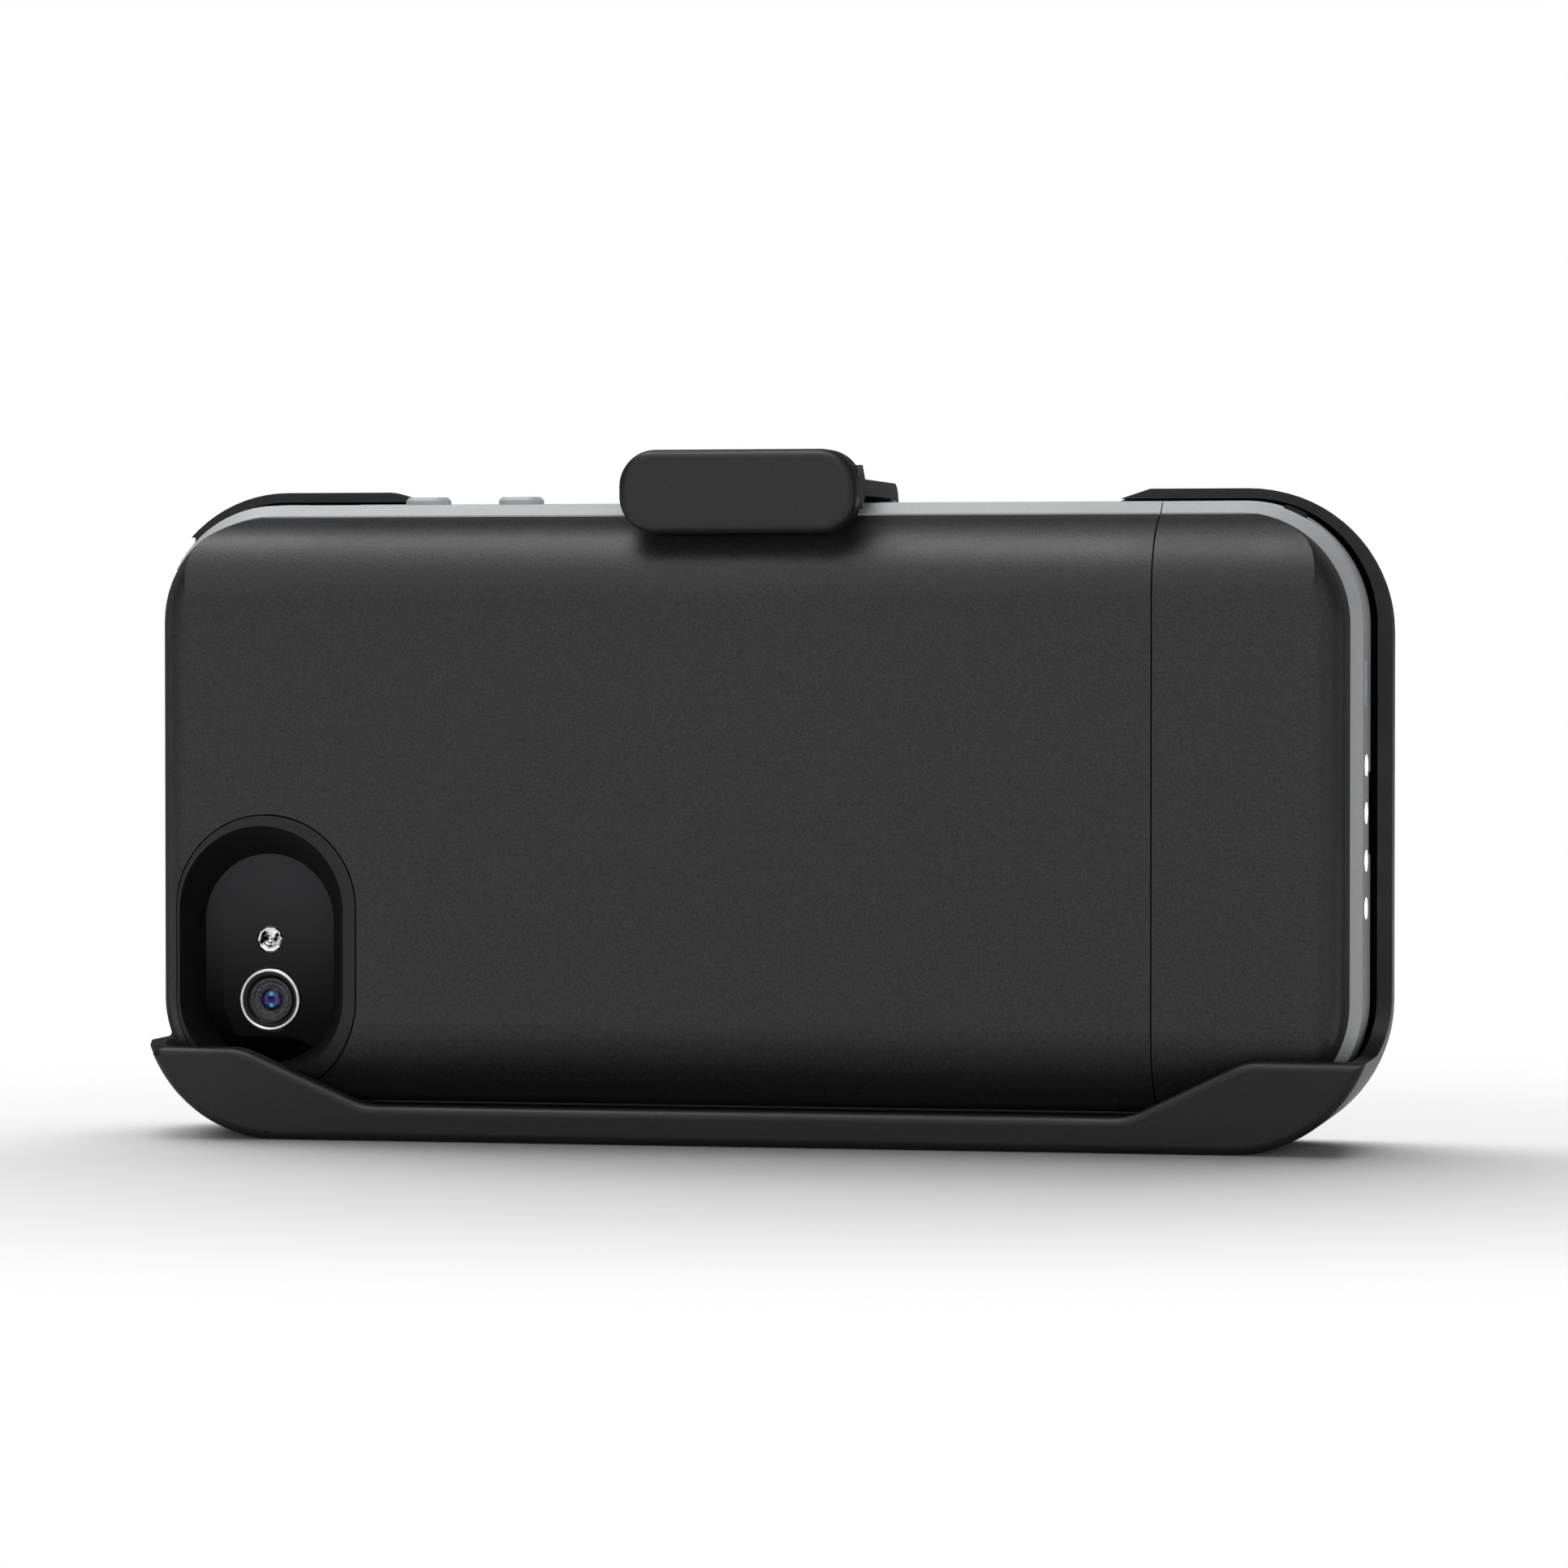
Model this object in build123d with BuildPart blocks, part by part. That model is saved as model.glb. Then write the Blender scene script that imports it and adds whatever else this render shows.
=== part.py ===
"""Battery charging case with its phone, clipped into a belt-clip holster. Millimetres.

X runs along the length, the case's back faces -Y and Z is up. The holster stands on its long
edge, with the origin in its base under the middle of the case's back. A depth is counted from
the case's back face towards +Y.
"""

import os
from math import cos, radians, sin, sqrt

from build123d import *

os.makedirs("parts", exist_ok=True)

# Phone, with the lens's place counted from its camera end
phone_length = 115.2
phone_width = 58.6
phone_thickness = 9.3
phone_corner = 9.0
phone_gap = 0.25
phone_seat = 0.05
glass_thickness = 1.0
glass_inset = 0.8
glass_edge = 0.25
lens_x = 8.65
lens_above_case = 11.6
lens_radius = 2.85
lens_dome = 0.3
lens_ring_wall = 0.45
lens_ring_proud = 0.3
flash_radius = 1.35
flash_pitch = 6.25
camera_fit = 0.05

# Case mouldings
band_wall = 1.85
end_wall = 2.0
dock_room = 6.55
case_corner = 12.5
left_corner = 12.2
left_overhang = 0.75
back_wall = 1.5
floor_thickness = 0.8
screen_lip = 0.85
screen_cover = 2.2
bevel_out = 1.1
bevel_depth = 1.5
side_draft = 0.2
side_depth = 5.4
front_bevel = 1.2
long_roll = 8.5
end_roll = 2.8
parting_x = 41.7
parting_gap = 0.16
ridge_wall = 0.8
ridge_height = 0.7
ridge_gap = 0.6
tongue_width = 4.6
tongue_thickness = 1.2
tongue_reach = 6.0
tongue_offset = 24.75
tongue_fit = 0.1

# Camera window, counted from the phone's camera end and from the window's lower end
bezel_x = 10.45
bezel_above_case = 2.65
bezel_length = 28.2
bezel_width = 18.8
bezel_gap = 0.16
mouth_length = 26.1
mouth_width = 17.3
mouth_shift = -0.5
view_length = 21.6
view_width = 13.7
view_shift_x = -1.8
view_shift_z = -0.85

# Openings at the phone's top end
insert_low = 9.5
insert_high = 56.0
insert_proud = -0.2
insert_fit = 0.05
insert_depth = 8.9
jack_radius = 3.6
jack_above_case = 48.5
sleep_slot_length = 11.0
sleep_slot_width = 3.6
sleep_above_case = 16.5
mute_slot_length = 7.0
mute_slot_width = 3.6
mute_x = 14.0

# Keys and switch, the volume keys counted from the phone's camera end
key_length = 4.7
key_width = 2.6
key_proud = 0.65
key_travel = 0.35
key_fit = 0.1
key_flange = 0.65
key_flange_thickness = 0.5
key_depth = 11.3
volume_up_x = 24.7
volume_down_x = 34.55
status_length = 5.0
status_width = 2.0
status_proud = 0.12
status_above_case = 44.5
switch_angle = 65.0
switch_length = 2.4
switch_width = 1.6
switch_proud = 0.35
switch_travel = 1.5
switch_body_height = 1.1
switch_seat = 0.95
switch_flange = 0.8
switch_pocket_depth = 4.2

# Power parts
cell_length = 72.0
cell_clear = 3.4
cell_width = 44.0
cell_thickness = 4.7
cell_gap = 0.3
cell_round = 1.0
cell_board_width = 3.4
cell_board_length = 30.0
board_thickness = 1.0
flex_thickness = 0.3
flex_width = 6.0
flex_offset = -15.5
end_board_length = 37.0
end_board_width = 8.6
end_board_gap = 1.15
board_room = 0.5
plug_base = 0.85
plug_length = 6.0
plug_width = 21.0
plug_thickness = 1.9
plug_room = 0.5
usb_width = 7.5
usb_height = 2.6
usb_length = 3.5
usb_wall = 0.35
usb_depth = 14.2
usb_room = 0.4
led_radius = 1.05
led_pitch = 4.77
led_count = 4
led_shift = -2.35
led_depth = 11.0
led_chip = 0.8
guide_bar = 1.0
guide_gap = 0.25
tact_size = 3.4

# Holster shell
holster_wall = 1.8
side_wall = 1.5
top_wall = 1.0
case_gap = 0.25
end_gap = 0.75
lip_gap = 0.4
plate_gap = 0.3
plate_thickness = 2.0
left_tuck = 3.15
tuck_depth = 8.5
scoop_depth = 17.0
scoop_below_top = 4.6
scoop_round = 2.5
front_round = 0.9
back_round = 4.5
inner_round = 1.6
rim_depth = 13.4
rim_blend = 6.0
rail_height = 3.65
bracket_height = 9.3
tip_round = 1.3
ramp_inner_x = 39.7
left_ramp_inner_x = 38.35
ramp_outer_x = 51.4
ramp_round = 6.0
notch_inner_x = 35.0
notch_outer_x = 39.7
notch_below_top = 1.55

# Release latch
latch_width = 24.3
tab_height = 8.35
tab_corner = 3.7
tab_thickness = 4.0
tab_edge = 0.9
tab_hook = 3.3
hook_gap = 0.3
arm_thickness = 1.6
arm_gap = 0.5
arm_blend = 1.4
latch_barrel = 2.25
latch_axis_behind = 0.3
latch_pin_radius = 0.8
lug_half_width = 4.6
lug_ease = 0.15
lug_drop = 4.7
knuckle_gap = 0.25
pin_fit = 0.03
run_fit = 0.06

# Belt clip
swivel_boss_radius = 13.5
swivel_boss_height = 1.0
hub_radius = 3.5
hub_fit = 0.09
rivet_radius = 2.0
rivet_head_radius = 5.8
rivet_head_thickness = 1.0
rivet_recess = 1.3
rivet_room = 0.4
rivet_play = 0.1
clip_plate_radius = 12.5
clip_plate_width = 20.0
clip_plate_thickness = 2.0
clip_plate_gap = 0.25
clip_plate_top = 20.0
ear_thickness = 1.8
ear_gap = 0.2
clip_axis_above = 16.0
clip_barrel = 2.7
belt_room = 4.8
clip_arm_thickness = 2.2
clip_arm_below = 22.0
clip_pad_above = 12.0
clip_hook_rise = 3.6
clip_flare = 1.8
clip_bend = 1.6
clip_tip_gap = 0.6
clip_pin_radius = 1.0
spring_window = 6.4
clip_corner = 5.0
grip_pitch = 1.8
grip_width = 0.9
grip_height = 0.4

# Springs
spring_wire = 0.5
spring_pitch = 0.58
spring_fit = 0.2
spring_slot = 3.4
latch_turns = 3.25
latch_leg = 5.0
clip_turns = 3.75

# Sizes that follow
seam_depth = back_wall + cell_thickness + 2 * cell_gap
phone_back = seam_depth + floor_thickness + phone_seat
phone_front = phone_back + phone_thickness
phone_mid_depth = phone_back + phone_thickness / 2
case_depth = phone_front + phone_seat + screen_lip
case_length = end_wall + phone_gap + phone_length + dock_room
case_width = phone_width + 2 * (phone_gap + band_wall)
case_bottom = holster_wall + case_gap
case_mid = case_bottom + case_width / 2
case_top = case_bottom + case_width
phone_left = -case_length / 2 + end_wall + phone_gap
phone_right = phone_left + phone_length
phone_mid = phone_left + phone_length / 2
band_inset = bevel_out + side_draft
shell_width = case_width - 2 * band_inset
pocket_left = -case_length / 2 - left_overhang - end_gap
pocket_right = case_length / 2 + end_gap
holster_left = pocket_left - side_wall
holster_right = pocket_right + side_wall
holster_length = holster_right - holster_left
holster_height = case_top + case_gap + top_wall
holster_depth = holster_wall + lip_gap + case_depth + plate_gap + plate_thickness
corner_grow = case_gap + holster_wall
lip_front = -(lip_gap + holster_wall)
plate_inner = case_depth + plate_gap
plate_outer = plate_inner + plate_thickness
case_back_y = -holster_depth / 2 + holster_wall + lip_gap
swivel_z = case_mid
lens_place = phone_left + lens_x
mute_place = phone_left + mute_x
volume_places = [phone_left + volume_up_x, phone_left + volume_down_x]
bezel_mid = phone_left + bezel_x
bezel_z = case_bottom + bezel_above_case + bezel_length / 2
insert_mid = case_bottom + (insert_low + insert_high) / 2
cell_left = bezel_mid + bezel_width / 2 + cell_clear
cell_mid = cell_left + cell_length / 2


def facing(depth):
    """Sketch plane at a depth, with X to the right and Z up; minus amounts extrude deeper."""
    return Plane.XZ.offset(-(case_back_y + depth))


def along(x):
    """Sketch plane across the length at x, with Y and Z as its own axes."""
    return Plane.YZ.offset(x)


def yz(depth, z):
    """Point of a cross-section sketch, from a depth and a height."""
    return (case_back_y + depth, z)


def save(builder, name):
    """Label a finished piece and write it to its own file."""
    builder.part.label = name
    export_step(builder.part, f"parts/{name}.step")


def outline(left, right, low, high, left_radius, right_radius):
    """Rounded outline as a sketch, with one corner radius at each end."""
    with BuildSketch() as form:
        with Locations(((left + right) / 2, (low + high) / 2)):
            Rectangle(right - left, high - low)
        fillet(form.vertices().group_by(Axis.X)[0], left_radius)
        fillet(form.vertices().group_by(Axis.X)[-1], right_radius)
    return form.sketch


def case_outline(inset, overhang=0):
    """Outline of the case seen from its back, drawn in all round and let out at its left end."""
    return outline(
        -case_length / 2 - overhang + inset,
        case_length / 2 - inset,
        case_bottom + inset,
        case_top - inset,
        left_corner - inset,
        case_corner - inset,
    )


def rolled_section(inset):
    """Cross-section of the back with its rolled long edges, drawn in by an inset."""
    with BuildSketch() as form:
        with Locations(yz(inset + long_roll, case_mid)):
            Rectangle(2 * long_roll, shell_width - 2 * inset)
        fillet(form.vertices().group_by(Axis.X)[0], long_roll - inset)
    return form.sketch


# Outer form of the soft-touch back, both sides of the parting line
with BuildPart() as back_form:
    with BuildSketch(facing(0)):
        add(case_outline(band_inset))
    extrude(amount=-seam_depth)
    fillet(back_form.faces().sort_by(Axis.Y)[0].edges(), end_roll)
    with BuildSketch(along(-case_length)):
        add(rolled_section(0))
    extrude(amount=2 * case_length, mode=Mode.INTERSECT)

# Room behind the phone for the cell and the wiring
with BuildPart() as back_room:
    with BuildSketch(facing(back_wall)):
        add(case_outline(band_inset + back_wall))
    extrude(amount=-seam_depth)
    with BuildSketch(along(-case_length)):
        add(rolled_section(back_wall))
    extrude(amount=2 * case_length, mode=Mode.INTERSECT)

# Soft-touch back of the main half, with the camera window's hole
with BuildPart() as main_back_shell:
    add(back_form.part)
    add(back_room.part, mode=Mode.SUBTRACT)
    split(bisect_by=along(parting_x - parting_gap / 2), keep=Keep.BOTTOM)
    with BuildSketch(facing(-1)):
        with Locations((bezel_mid, bezel_z)):
            SlotOverall(bezel_length + 2 * bezel_gap, bezel_width + 2 * bezel_gap, rotation=90)
    extrude(amount=-(seam_depth + 2), mode=Mode.SUBTRACT)
save(main_back_shell, "main_back_shell")

# Soft-touch back of the end cap
with BuildPart() as end_cap_shell:
    add(back_form.part)
    add(back_room.part, mode=Mode.SUBTRACT)
    split(bisect_by=along(parting_x + parting_gap / 2), keep=Keep.TOP)
save(end_cap_shell, "end_cap_shell")


def band_sections(grow):
    """Depths and insets of the bumper band's corners, from its seam to the screen side."""
    side_start = seam_depth + bevel_depth
    return [
        (seam_depth, band_inset - grow),
        (side_start, side_draft - grow),
        (side_start + side_depth, -grow),
        (case_depth, front_bevel - grow),
    ]


def band_solid(grow):
    """Bumper band's outer form as one closed solid, grown outwards all round."""
    with BuildPart() as form:
        for depth, inset in band_sections(grow):
            with BuildSketch(facing(depth)):
                add(case_outline(inset, left_overhang))
        loft(ruled=True)
    return form.part


# Space that the seated phone takes, with the plug's room behind its end
with BuildPart() as phone_space:
    with BuildSketch(facing(seam_depth + floor_thickness)):
        with Locations((phone_mid, case_mid)):
            RectangleRounded(
                phone_length + 2 * phone_gap,
                phone_width + 2 * phone_gap,
                phone_corner + phone_gap,
            )
        with Locations(((phone_mid + case_length / 2 - band_wall) / 2, case_mid)):
            Rectangle(case_length / 2 - band_wall - phone_mid, end_board_length + 2 * board_room)
    extrude(amount=-(phone_front + phone_seat - seam_depth - floor_thickness))

# Grey moulding of the whole case before it is parted: band, floor and screen lip
with BuildPart() as tray_form:
    add(band_solid(0))
    add(phone_space.part, mode=Mode.SUBTRACT)
    with BuildSketch(facing(phone_front)):
        with Locations((phone_mid, case_mid)):
            RectangleRounded(
                phone_length - 2 * screen_cover,
                phone_width - 2 * screen_cover,
                phone_corner - screen_cover,
            )
    extrude(amount=-case_depth, mode=Mode.SUBTRACT)
    with BuildSketch(facing(seam_depth - ridge_height)):
        ridge_inset = band_inset + back_wall + ridge_gap
        add(case_outline(ridge_inset))
        add(case_outline(ridge_inset + ridge_wall), mode=Mode.SUBTRACT)
    extrude(amount=-ridge_height)

# Travel and seats of the two volume keys, on the inside of the top wall
key_seat_z = case_top - band_wall + key_travel + key_flange_thickness + key_fit
key_flange_z = key_seat_z - key_fit / 2

# Grey moulding of the main half
with BuildPart() as main_tray:
    add(tray_form.part)
    split(bisect_by=along(parting_x - parting_gap / 2), keep=Keep.BOTTOM)
    with BuildSketch(facing(seam_depth - ridge_height - 1)):
        with Locations((bezel_mid, bezel_z)):
            SlotOverall(bezel_length + 2 * bezel_gap, bezel_width + 2 * bezel_gap, rotation=90)
    extrude(amount=-(ridge_height + floor_thickness + 2), mode=Mode.SUBTRACT)
    with BuildSketch(Plane.XY.offset(case_top - band_wall - phone_gap)):
        with Locations((mute_place, case_back_y + phone_mid_depth)):
            SlotOverall(mute_slot_length, mute_slot_width)
        with Locations(*[(x, case_back_y + key_depth) for x in volume_places]):
            SlotOverall(key_length + 2 * key_fit, key_width + 2 * key_fit)
    extrude(amount=2 * band_wall, mode=Mode.SUBTRACT)
    with BuildSketch(Plane.XY.offset(case_top - band_wall - phone_gap)):
        with Locations(*[(x, case_back_y + key_depth) for x in volume_places]):
            seat_grow = 2 * (key_flange + key_fit)
            SlotOverall(key_length + seat_grow, key_width + seat_grow)
    extrude(amount=key_seat_z - (case_top - band_wall - phone_gap), mode=Mode.SUBTRACT)
    with BuildSketch(facing(seam_depth)):
        with Locations((-case_length / 2, insert_mid)):
            Rectangle(2 * (end_wall + phone_gap), insert_high - insert_low)
    extrude(amount=-insert_depth, mode=Mode.SUBTRACT)
    with BuildSketch(facing(seam_depth - tongue_thickness)):
        with Locations((parting_x, case_mid - tongue_offset), (parting_x, case_mid + tongue_offset)):
            Rectangle(2 * tongue_reach, tongue_width)
    extrude(amount=-(tongue_thickness - tongue_fit))
    with BuildSketch(facing(seam_depth - tongue_thickness)):
        with Locations((parting_x - tongue_reach / 2, case_mid)):
            with GridLocations(0, 2 * tongue_offset, 1, 2):
                Rectangle(tongue_reach - parting_gap, tongue_width)
    extrude(amount=-tongue_thickness)
save(main_tray, "main_tray")

# Dark insert that closes the band round the phone's top end
with BuildPart() as top_end_insert:
    add(band_solid(insert_proud))
    with BuildSketch(facing(seam_depth + insert_fit)):
        with Locations((-case_length / 2, insert_mid)):
            insert_reach = 2 * (end_wall + phone_gap - insert_fit)
            Rectangle(insert_reach, insert_high - insert_low - 2 * insert_fit)
    extrude(amount=-(insert_depth - 2 * insert_fit), mode=Mode.INTERSECT)
    add(phone_space.part, mode=Mode.SUBTRACT)
    with BuildSketch(along(-case_length / 2 - 1)):
        with Locations(yz(phone_mid_depth, case_bottom + jack_above_case)):
            Circle(jack_radius)
        with Locations(yz(phone_mid_depth, case_bottom + sleep_above_case)):
            SlotOverall(sleep_slot_length, sleep_slot_width, rotation=90)
    extrude(amount=end_wall + phone_gap + 1, mode=Mode.SUBTRACT)
save(top_end_insert, "top_end_insert")

# Camera window insert: a funnel from the back face down to the phone's glass
with BuildPart() as window_bezel:
    bezel_depth = phone_back - 2 * phone_seat
    with BuildSketch(facing(0)):
        with Locations((bezel_mid, bezel_z)):
            SlotOverall(bezel_length, bezel_width, rotation=90)
    extrude(amount=-bezel_depth)
    with BuildSketch(along(-case_length)):
        add(rolled_section(0))
    extrude(amount=2 * case_length, mode=Mode.INTERSECT)
    with BuildSketch(facing(0)):
        with Locations((bezel_mid + mouth_shift, bezel_z)):
            SlotOverall(mouth_length, mouth_width, rotation=90)
    with BuildSketch(facing(bezel_depth)):
        with Locations((bezel_mid + view_shift_x, bezel_z + view_shift_z)):
            SlotOverall(view_length, view_width, rotation=90)
    loft(ruled=True, mode=Mode.SUBTRACT)
save(window_bezel, "window_bezel")


def volume_key(x, name):
    """Volume key: a slot-shaped cap through the band, with a flange that stops it inside."""
    with BuildPart() as key:
        with BuildSketch(Plane.XY.offset(key_flange_z)):
            with Locations((x, case_back_y + key_depth)):
                SlotOverall(key_length, key_width)
        extrude(amount=case_top + key_proud - key_flange_z)
        chamfer(key.faces().sort_by(Axis.Z)[-1].edges(), key_proud / 2)
        with BuildSketch(Plane.XY.offset(key_flange_z)):
            with Locations((x, case_back_y + key_depth)):
                SlotOverall(key_length + 2 * key_flange, key_width + 2 * key_flange)
        extrude(amount=-key_flange_thickness)
    save(key, name)


for place, key_name in zip(volume_places, ["volume_up_button", "volume_down_button"]):
    volume_key(place, key_name)

# Places along the case's right end
wall_inner = case_length / 2 - band_wall
board_left = phone_right + end_board_gap
board_right = board_left + board_thickness
status_z = case_bottom + status_above_case
led_heights = [case_mid + led_shift + led_pitch * (i - (led_count - 1) / 2) for i in range(led_count)]
side_face = case_length / 2 - side_draft / 2

# Standby switch's own plane, square to the band on the corner's arc
switch_out = (cos(radians(switch_angle)), 0, sin(radians(switch_angle)))
switch_along = (sin(radians(switch_angle)), 0, -cos(radians(switch_angle)))
switch_plane = Plane(
    origin=(
        case_length / 2 - case_corner + (case_corner - side_draft / 2) * switch_out[0],
        case_back_y + led_depth,
        case_top - case_corner + (case_corner - side_draft / 2) * switch_out[2],
    ),
    x_dir=switch_along,
    z_dir=switch_out,
)
switch_pocket_length = switch_length + switch_travel + 2 * (switch_flange + key_fit)
switch_pocket_width = switch_width + switch_flange + 2 * key_fit

# Grey moulding of the end cap, with the openings of its end wall
with BuildPart() as end_cap_tray:
    add(tray_form.part)
    split(bisect_by=along(parting_x + parting_gap / 2), keep=Keep.TOP)
    with BuildSketch(along(wall_inner - 1)):
        with Locations(yz(led_depth, status_z)):
            SlotOverall(status_length + 2 * key_fit, status_width + 2 * key_fit, rotation=90)
        with Locations(*[yz(led_depth, z) for z in led_heights]):
            Circle(led_radius + camera_fit)
        with Locations(yz(usb_depth, case_mid)):
            RectangleRounded(usb_height + 2 * usb_room, usb_width + 2 * usb_room, usb_room)
    extrude(amount=band_wall + 2, mode=Mode.SUBTRACT)
    with BuildSketch(facing(seam_depth - ridge_height - 1)):
        with Locations((board_left - flex_thickness / 2, case_mid + flex_offset)):
            Rectangle(4 * flex_thickness, flex_width + 4 * flex_thickness)
    extrude(amount=-(ridge_height + floor_thickness + 2), mode=Mode.SUBTRACT)
    with BuildSketch(switch_plane.offset(-switch_seat)):
        with Locations((switch_travel / 2, 0)):
            Rectangle(switch_length + switch_travel + 2 * key_fit, switch_width + 2 * key_fit)
    extrude(amount=2 * switch_seat, mode=Mode.SUBTRACT)
    with BuildSketch(switch_plane.offset(-switch_pocket_depth)):
        with Locations((switch_travel / 2, 0)):
            Rectangle(switch_pocket_length, switch_pocket_width)
    extrude(amount=switch_pocket_depth - switch_seat, mode=Mode.SUBTRACT)
save(end_cap_tray, "end_cap_tray")

# Status key in the end wall
with BuildPart() as status_button:
    status_flange_x = wall_inner - key_fit / 2
    with BuildSketch(along(status_flange_x)):
        with Locations(yz(led_depth, status_z)):
            SlotOverall(status_length, status_width, rotation=90)
    extrude(amount=side_face + status_proud - status_flange_x)
    with BuildSketch(along(status_flange_x)):
        with Locations(yz(led_depth, status_z)):
            SlotOverall(status_length + 2 * key_flange, status_width + 2 * key_flange, rotation=90)
    extrude(amount=-key_flange_thickness)
save(status_button, "status_button")

# Standby slider on the corner
with BuildPart() as standby_slider:
    with BuildSketch(switch_plane.offset(-switch_seat - key_fit / 2)):
        Rectangle(switch_length, switch_width)
    extrude(amount=switch_seat + key_fit / 2 + switch_proud)
    fillet(standby_slider.edges().filter_by(Axis.Y), switch_proud)
    with BuildSketch(switch_plane.offset(-switch_seat - key_fit / 2)):
        Rectangle(switch_length + 2 * switch_flange, switch_width + switch_flange)
    extrude(amount=-key_flange_thickness)
save(standby_slider, "standby_slider")

# Switch body under the slider
with BuildPart() as standby_switch:
    with BuildSketch(switch_plane.offset(-switch_seat - key_flange_thickness - 2 * key_fit)):
        with Locations((switch_travel / 2, 0)):
            Rectangle(switch_pocket_length - 2 * key_fit, switch_pocket_width - 2 * key_fit)
    extrude(amount=-switch_body_height)
save(standby_switch, "standby_switch")

# Pouch cell
with BuildPart() as battery_cell:
    with BuildSketch(facing(back_wall + cell_gap)):
        with Locations((cell_mid, case_mid)):
            RectangleRounded(cell_length, cell_width, 2 * cell_round)
    extrude(amount=-cell_thickness)
    for side in (0, -1):
        chamfer(battery_cell.faces().sort_by(Axis.Y)[side].edges(), cell_round)
save(battery_cell, "battery_cell")

# Protection board at the cell's terminals
cell_board_x = cell_left + cell_length + cell_gap + cell_board_width / 2
cell_board_depth = back_wall + cell_gap + (cell_thickness - board_thickness) / 2
with BuildPart() as cell_board:
    with BuildSketch(facing(cell_board_depth)):
        with Locations((cell_board_x, case_mid)):
            Rectangle(cell_board_width, cell_board_length)
    extrude(amount=-board_thickness)
save(cell_board, "cell_board")

# Flat lead from the protection board to the end board
with BuildPart() as battery_flex:
    flex_depth = cell_board_depth + board_thickness
    flex_z = case_mid + flex_offset
    with BuildSketch(Plane.XY.offset(flex_z - flex_width / 2)):
        with BuildLine():
            Polyline(
                (cell_board_x, case_back_y + flex_depth),
                (board_left, case_back_y + flex_depth),
                (board_left, case_back_y + phone_mid_depth),
                (board_left - flex_thickness, case_back_y + phone_mid_depth),
                (board_left - flex_thickness, case_back_y + flex_depth + flex_thickness),
                (cell_board_x, case_back_y + flex_depth + flex_thickness),
                close=True,
            )
        make_face()
    extrude(amount=flex_width)
save(battery_flex, "battery_flex")

# Control board that stands across the end of the phone
with BuildPart() as end_board:
    with BuildSketch(along(board_left)):
        with Locations(yz(phone_mid_depth, case_mid)):
            Rectangle(end_board_width, end_board_length)
    extrude(amount=board_thickness)
save(end_board, "end_board")

# Plug that charges the phone
with BuildPart() as dock_plug:
    with BuildSketch(along(board_left)):
        with Locations(yz(phone_mid_depth, case_mid)):
            RectangleRounded(plug_thickness + 3 * plug_base, plug_width + 3 * plug_base, plug_base)
    extrude(amount=-plug_base)
    with BuildSketch(along(board_left - plug_base)):
        with Locations(yz(phone_mid_depth, case_mid)):
            RectangleRounded(plug_thickness, plug_width, plug_thickness / 3)
    extrude(amount=-plug_length)
save(dock_plug, "dock_plug")

# Charging socket, open towards the case's end
with BuildPart() as usb_socket:
    with BuildSketch(along(board_right)):
        with Locations(yz(usb_depth, case_mid)):
            RectangleRounded(usb_height, usb_width, 2 * usb_wall)
    extrude(amount=usb_length)
    with BuildSketch(along(board_right + 2 * usb_wall)):
        with Locations(yz(usb_depth, case_mid)):
            RectangleRounded(usb_height - 2 * usb_wall, usb_width - 2 * usb_wall, usb_wall)
            Rectangle(usb_wall * 2, usb_width / 2, mode=Mode.SUBTRACT)
    extrude(amount=usb_length, mode=Mode.SUBTRACT)
save(usb_socket, "usb_socket")

# Charge lamps on the board
with BuildPart() as status_leds:
    with BuildSketch(along(board_right)):
        with Locations(*[yz(led_depth, z) for z in led_heights]):
            Rectangle(2 * led_chip, 2 * led_chip)
    extrude(amount=led_chip)
save(status_leds, "status_leds")

# Clear moulding that carries the lamps' light out to the end wall
with BuildPart() as light_guide:
    guide_left = board_right + led_chip + guide_gap
    with BuildSketch(along(guide_left)):
        with Locations(yz(led_depth, case_mid + led_shift)):
            Rectangle(2 * led_radius, (led_count - 1) * led_pitch + 2 * led_radius)
    extrude(amount=guide_bar)
    with BuildSketch(along(guide_left + guide_bar)):
        with Locations(*[yz(led_depth, z) for z in led_heights]):
            Circle(led_radius)
    extrude(amount=side_face - guide_left - guide_bar)
save(light_guide, "light_guide")

# Push switch behind the status key
with BuildPart() as status_switch:
    with BuildSketch(along(board_right)):
        with Locations(yz(led_depth, status_z)):
            Rectangle(tact_size, tact_size)
    extrude(amount=tact_size / 3)
    plunger_end = status_flange_x - key_flange_thickness - key_travel - key_fit
    with BuildSketch(along(board_right)):
        with Locations(yz(led_depth, status_z)):
            Circle(tact_size / 4)
    extrude(amount=plunger_end - board_right)
save(status_switch, "status_switch")

# Phone's frame, with the socket that takes the plug
with BuildPart() as phone_body:
    with BuildSketch(facing(phone_back + glass_thickness)):
        with Locations((phone_mid, case_mid)):
            RectangleRounded(phone_length, phone_width, phone_corner)
    extrude(amount=-(phone_thickness - 2 * glass_thickness))
    with BuildSketch(along(phone_right)):
        with Locations(yz(phone_mid_depth, case_mid)):
            RectangleRounded(plug_thickness + 2 * plug_room, plug_width + 2 * plug_room, plug_room)
    extrude(amount=-(plug_length + plug_room), mode=Mode.SUBTRACT)
save(phone_body, "phone_body")


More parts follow.
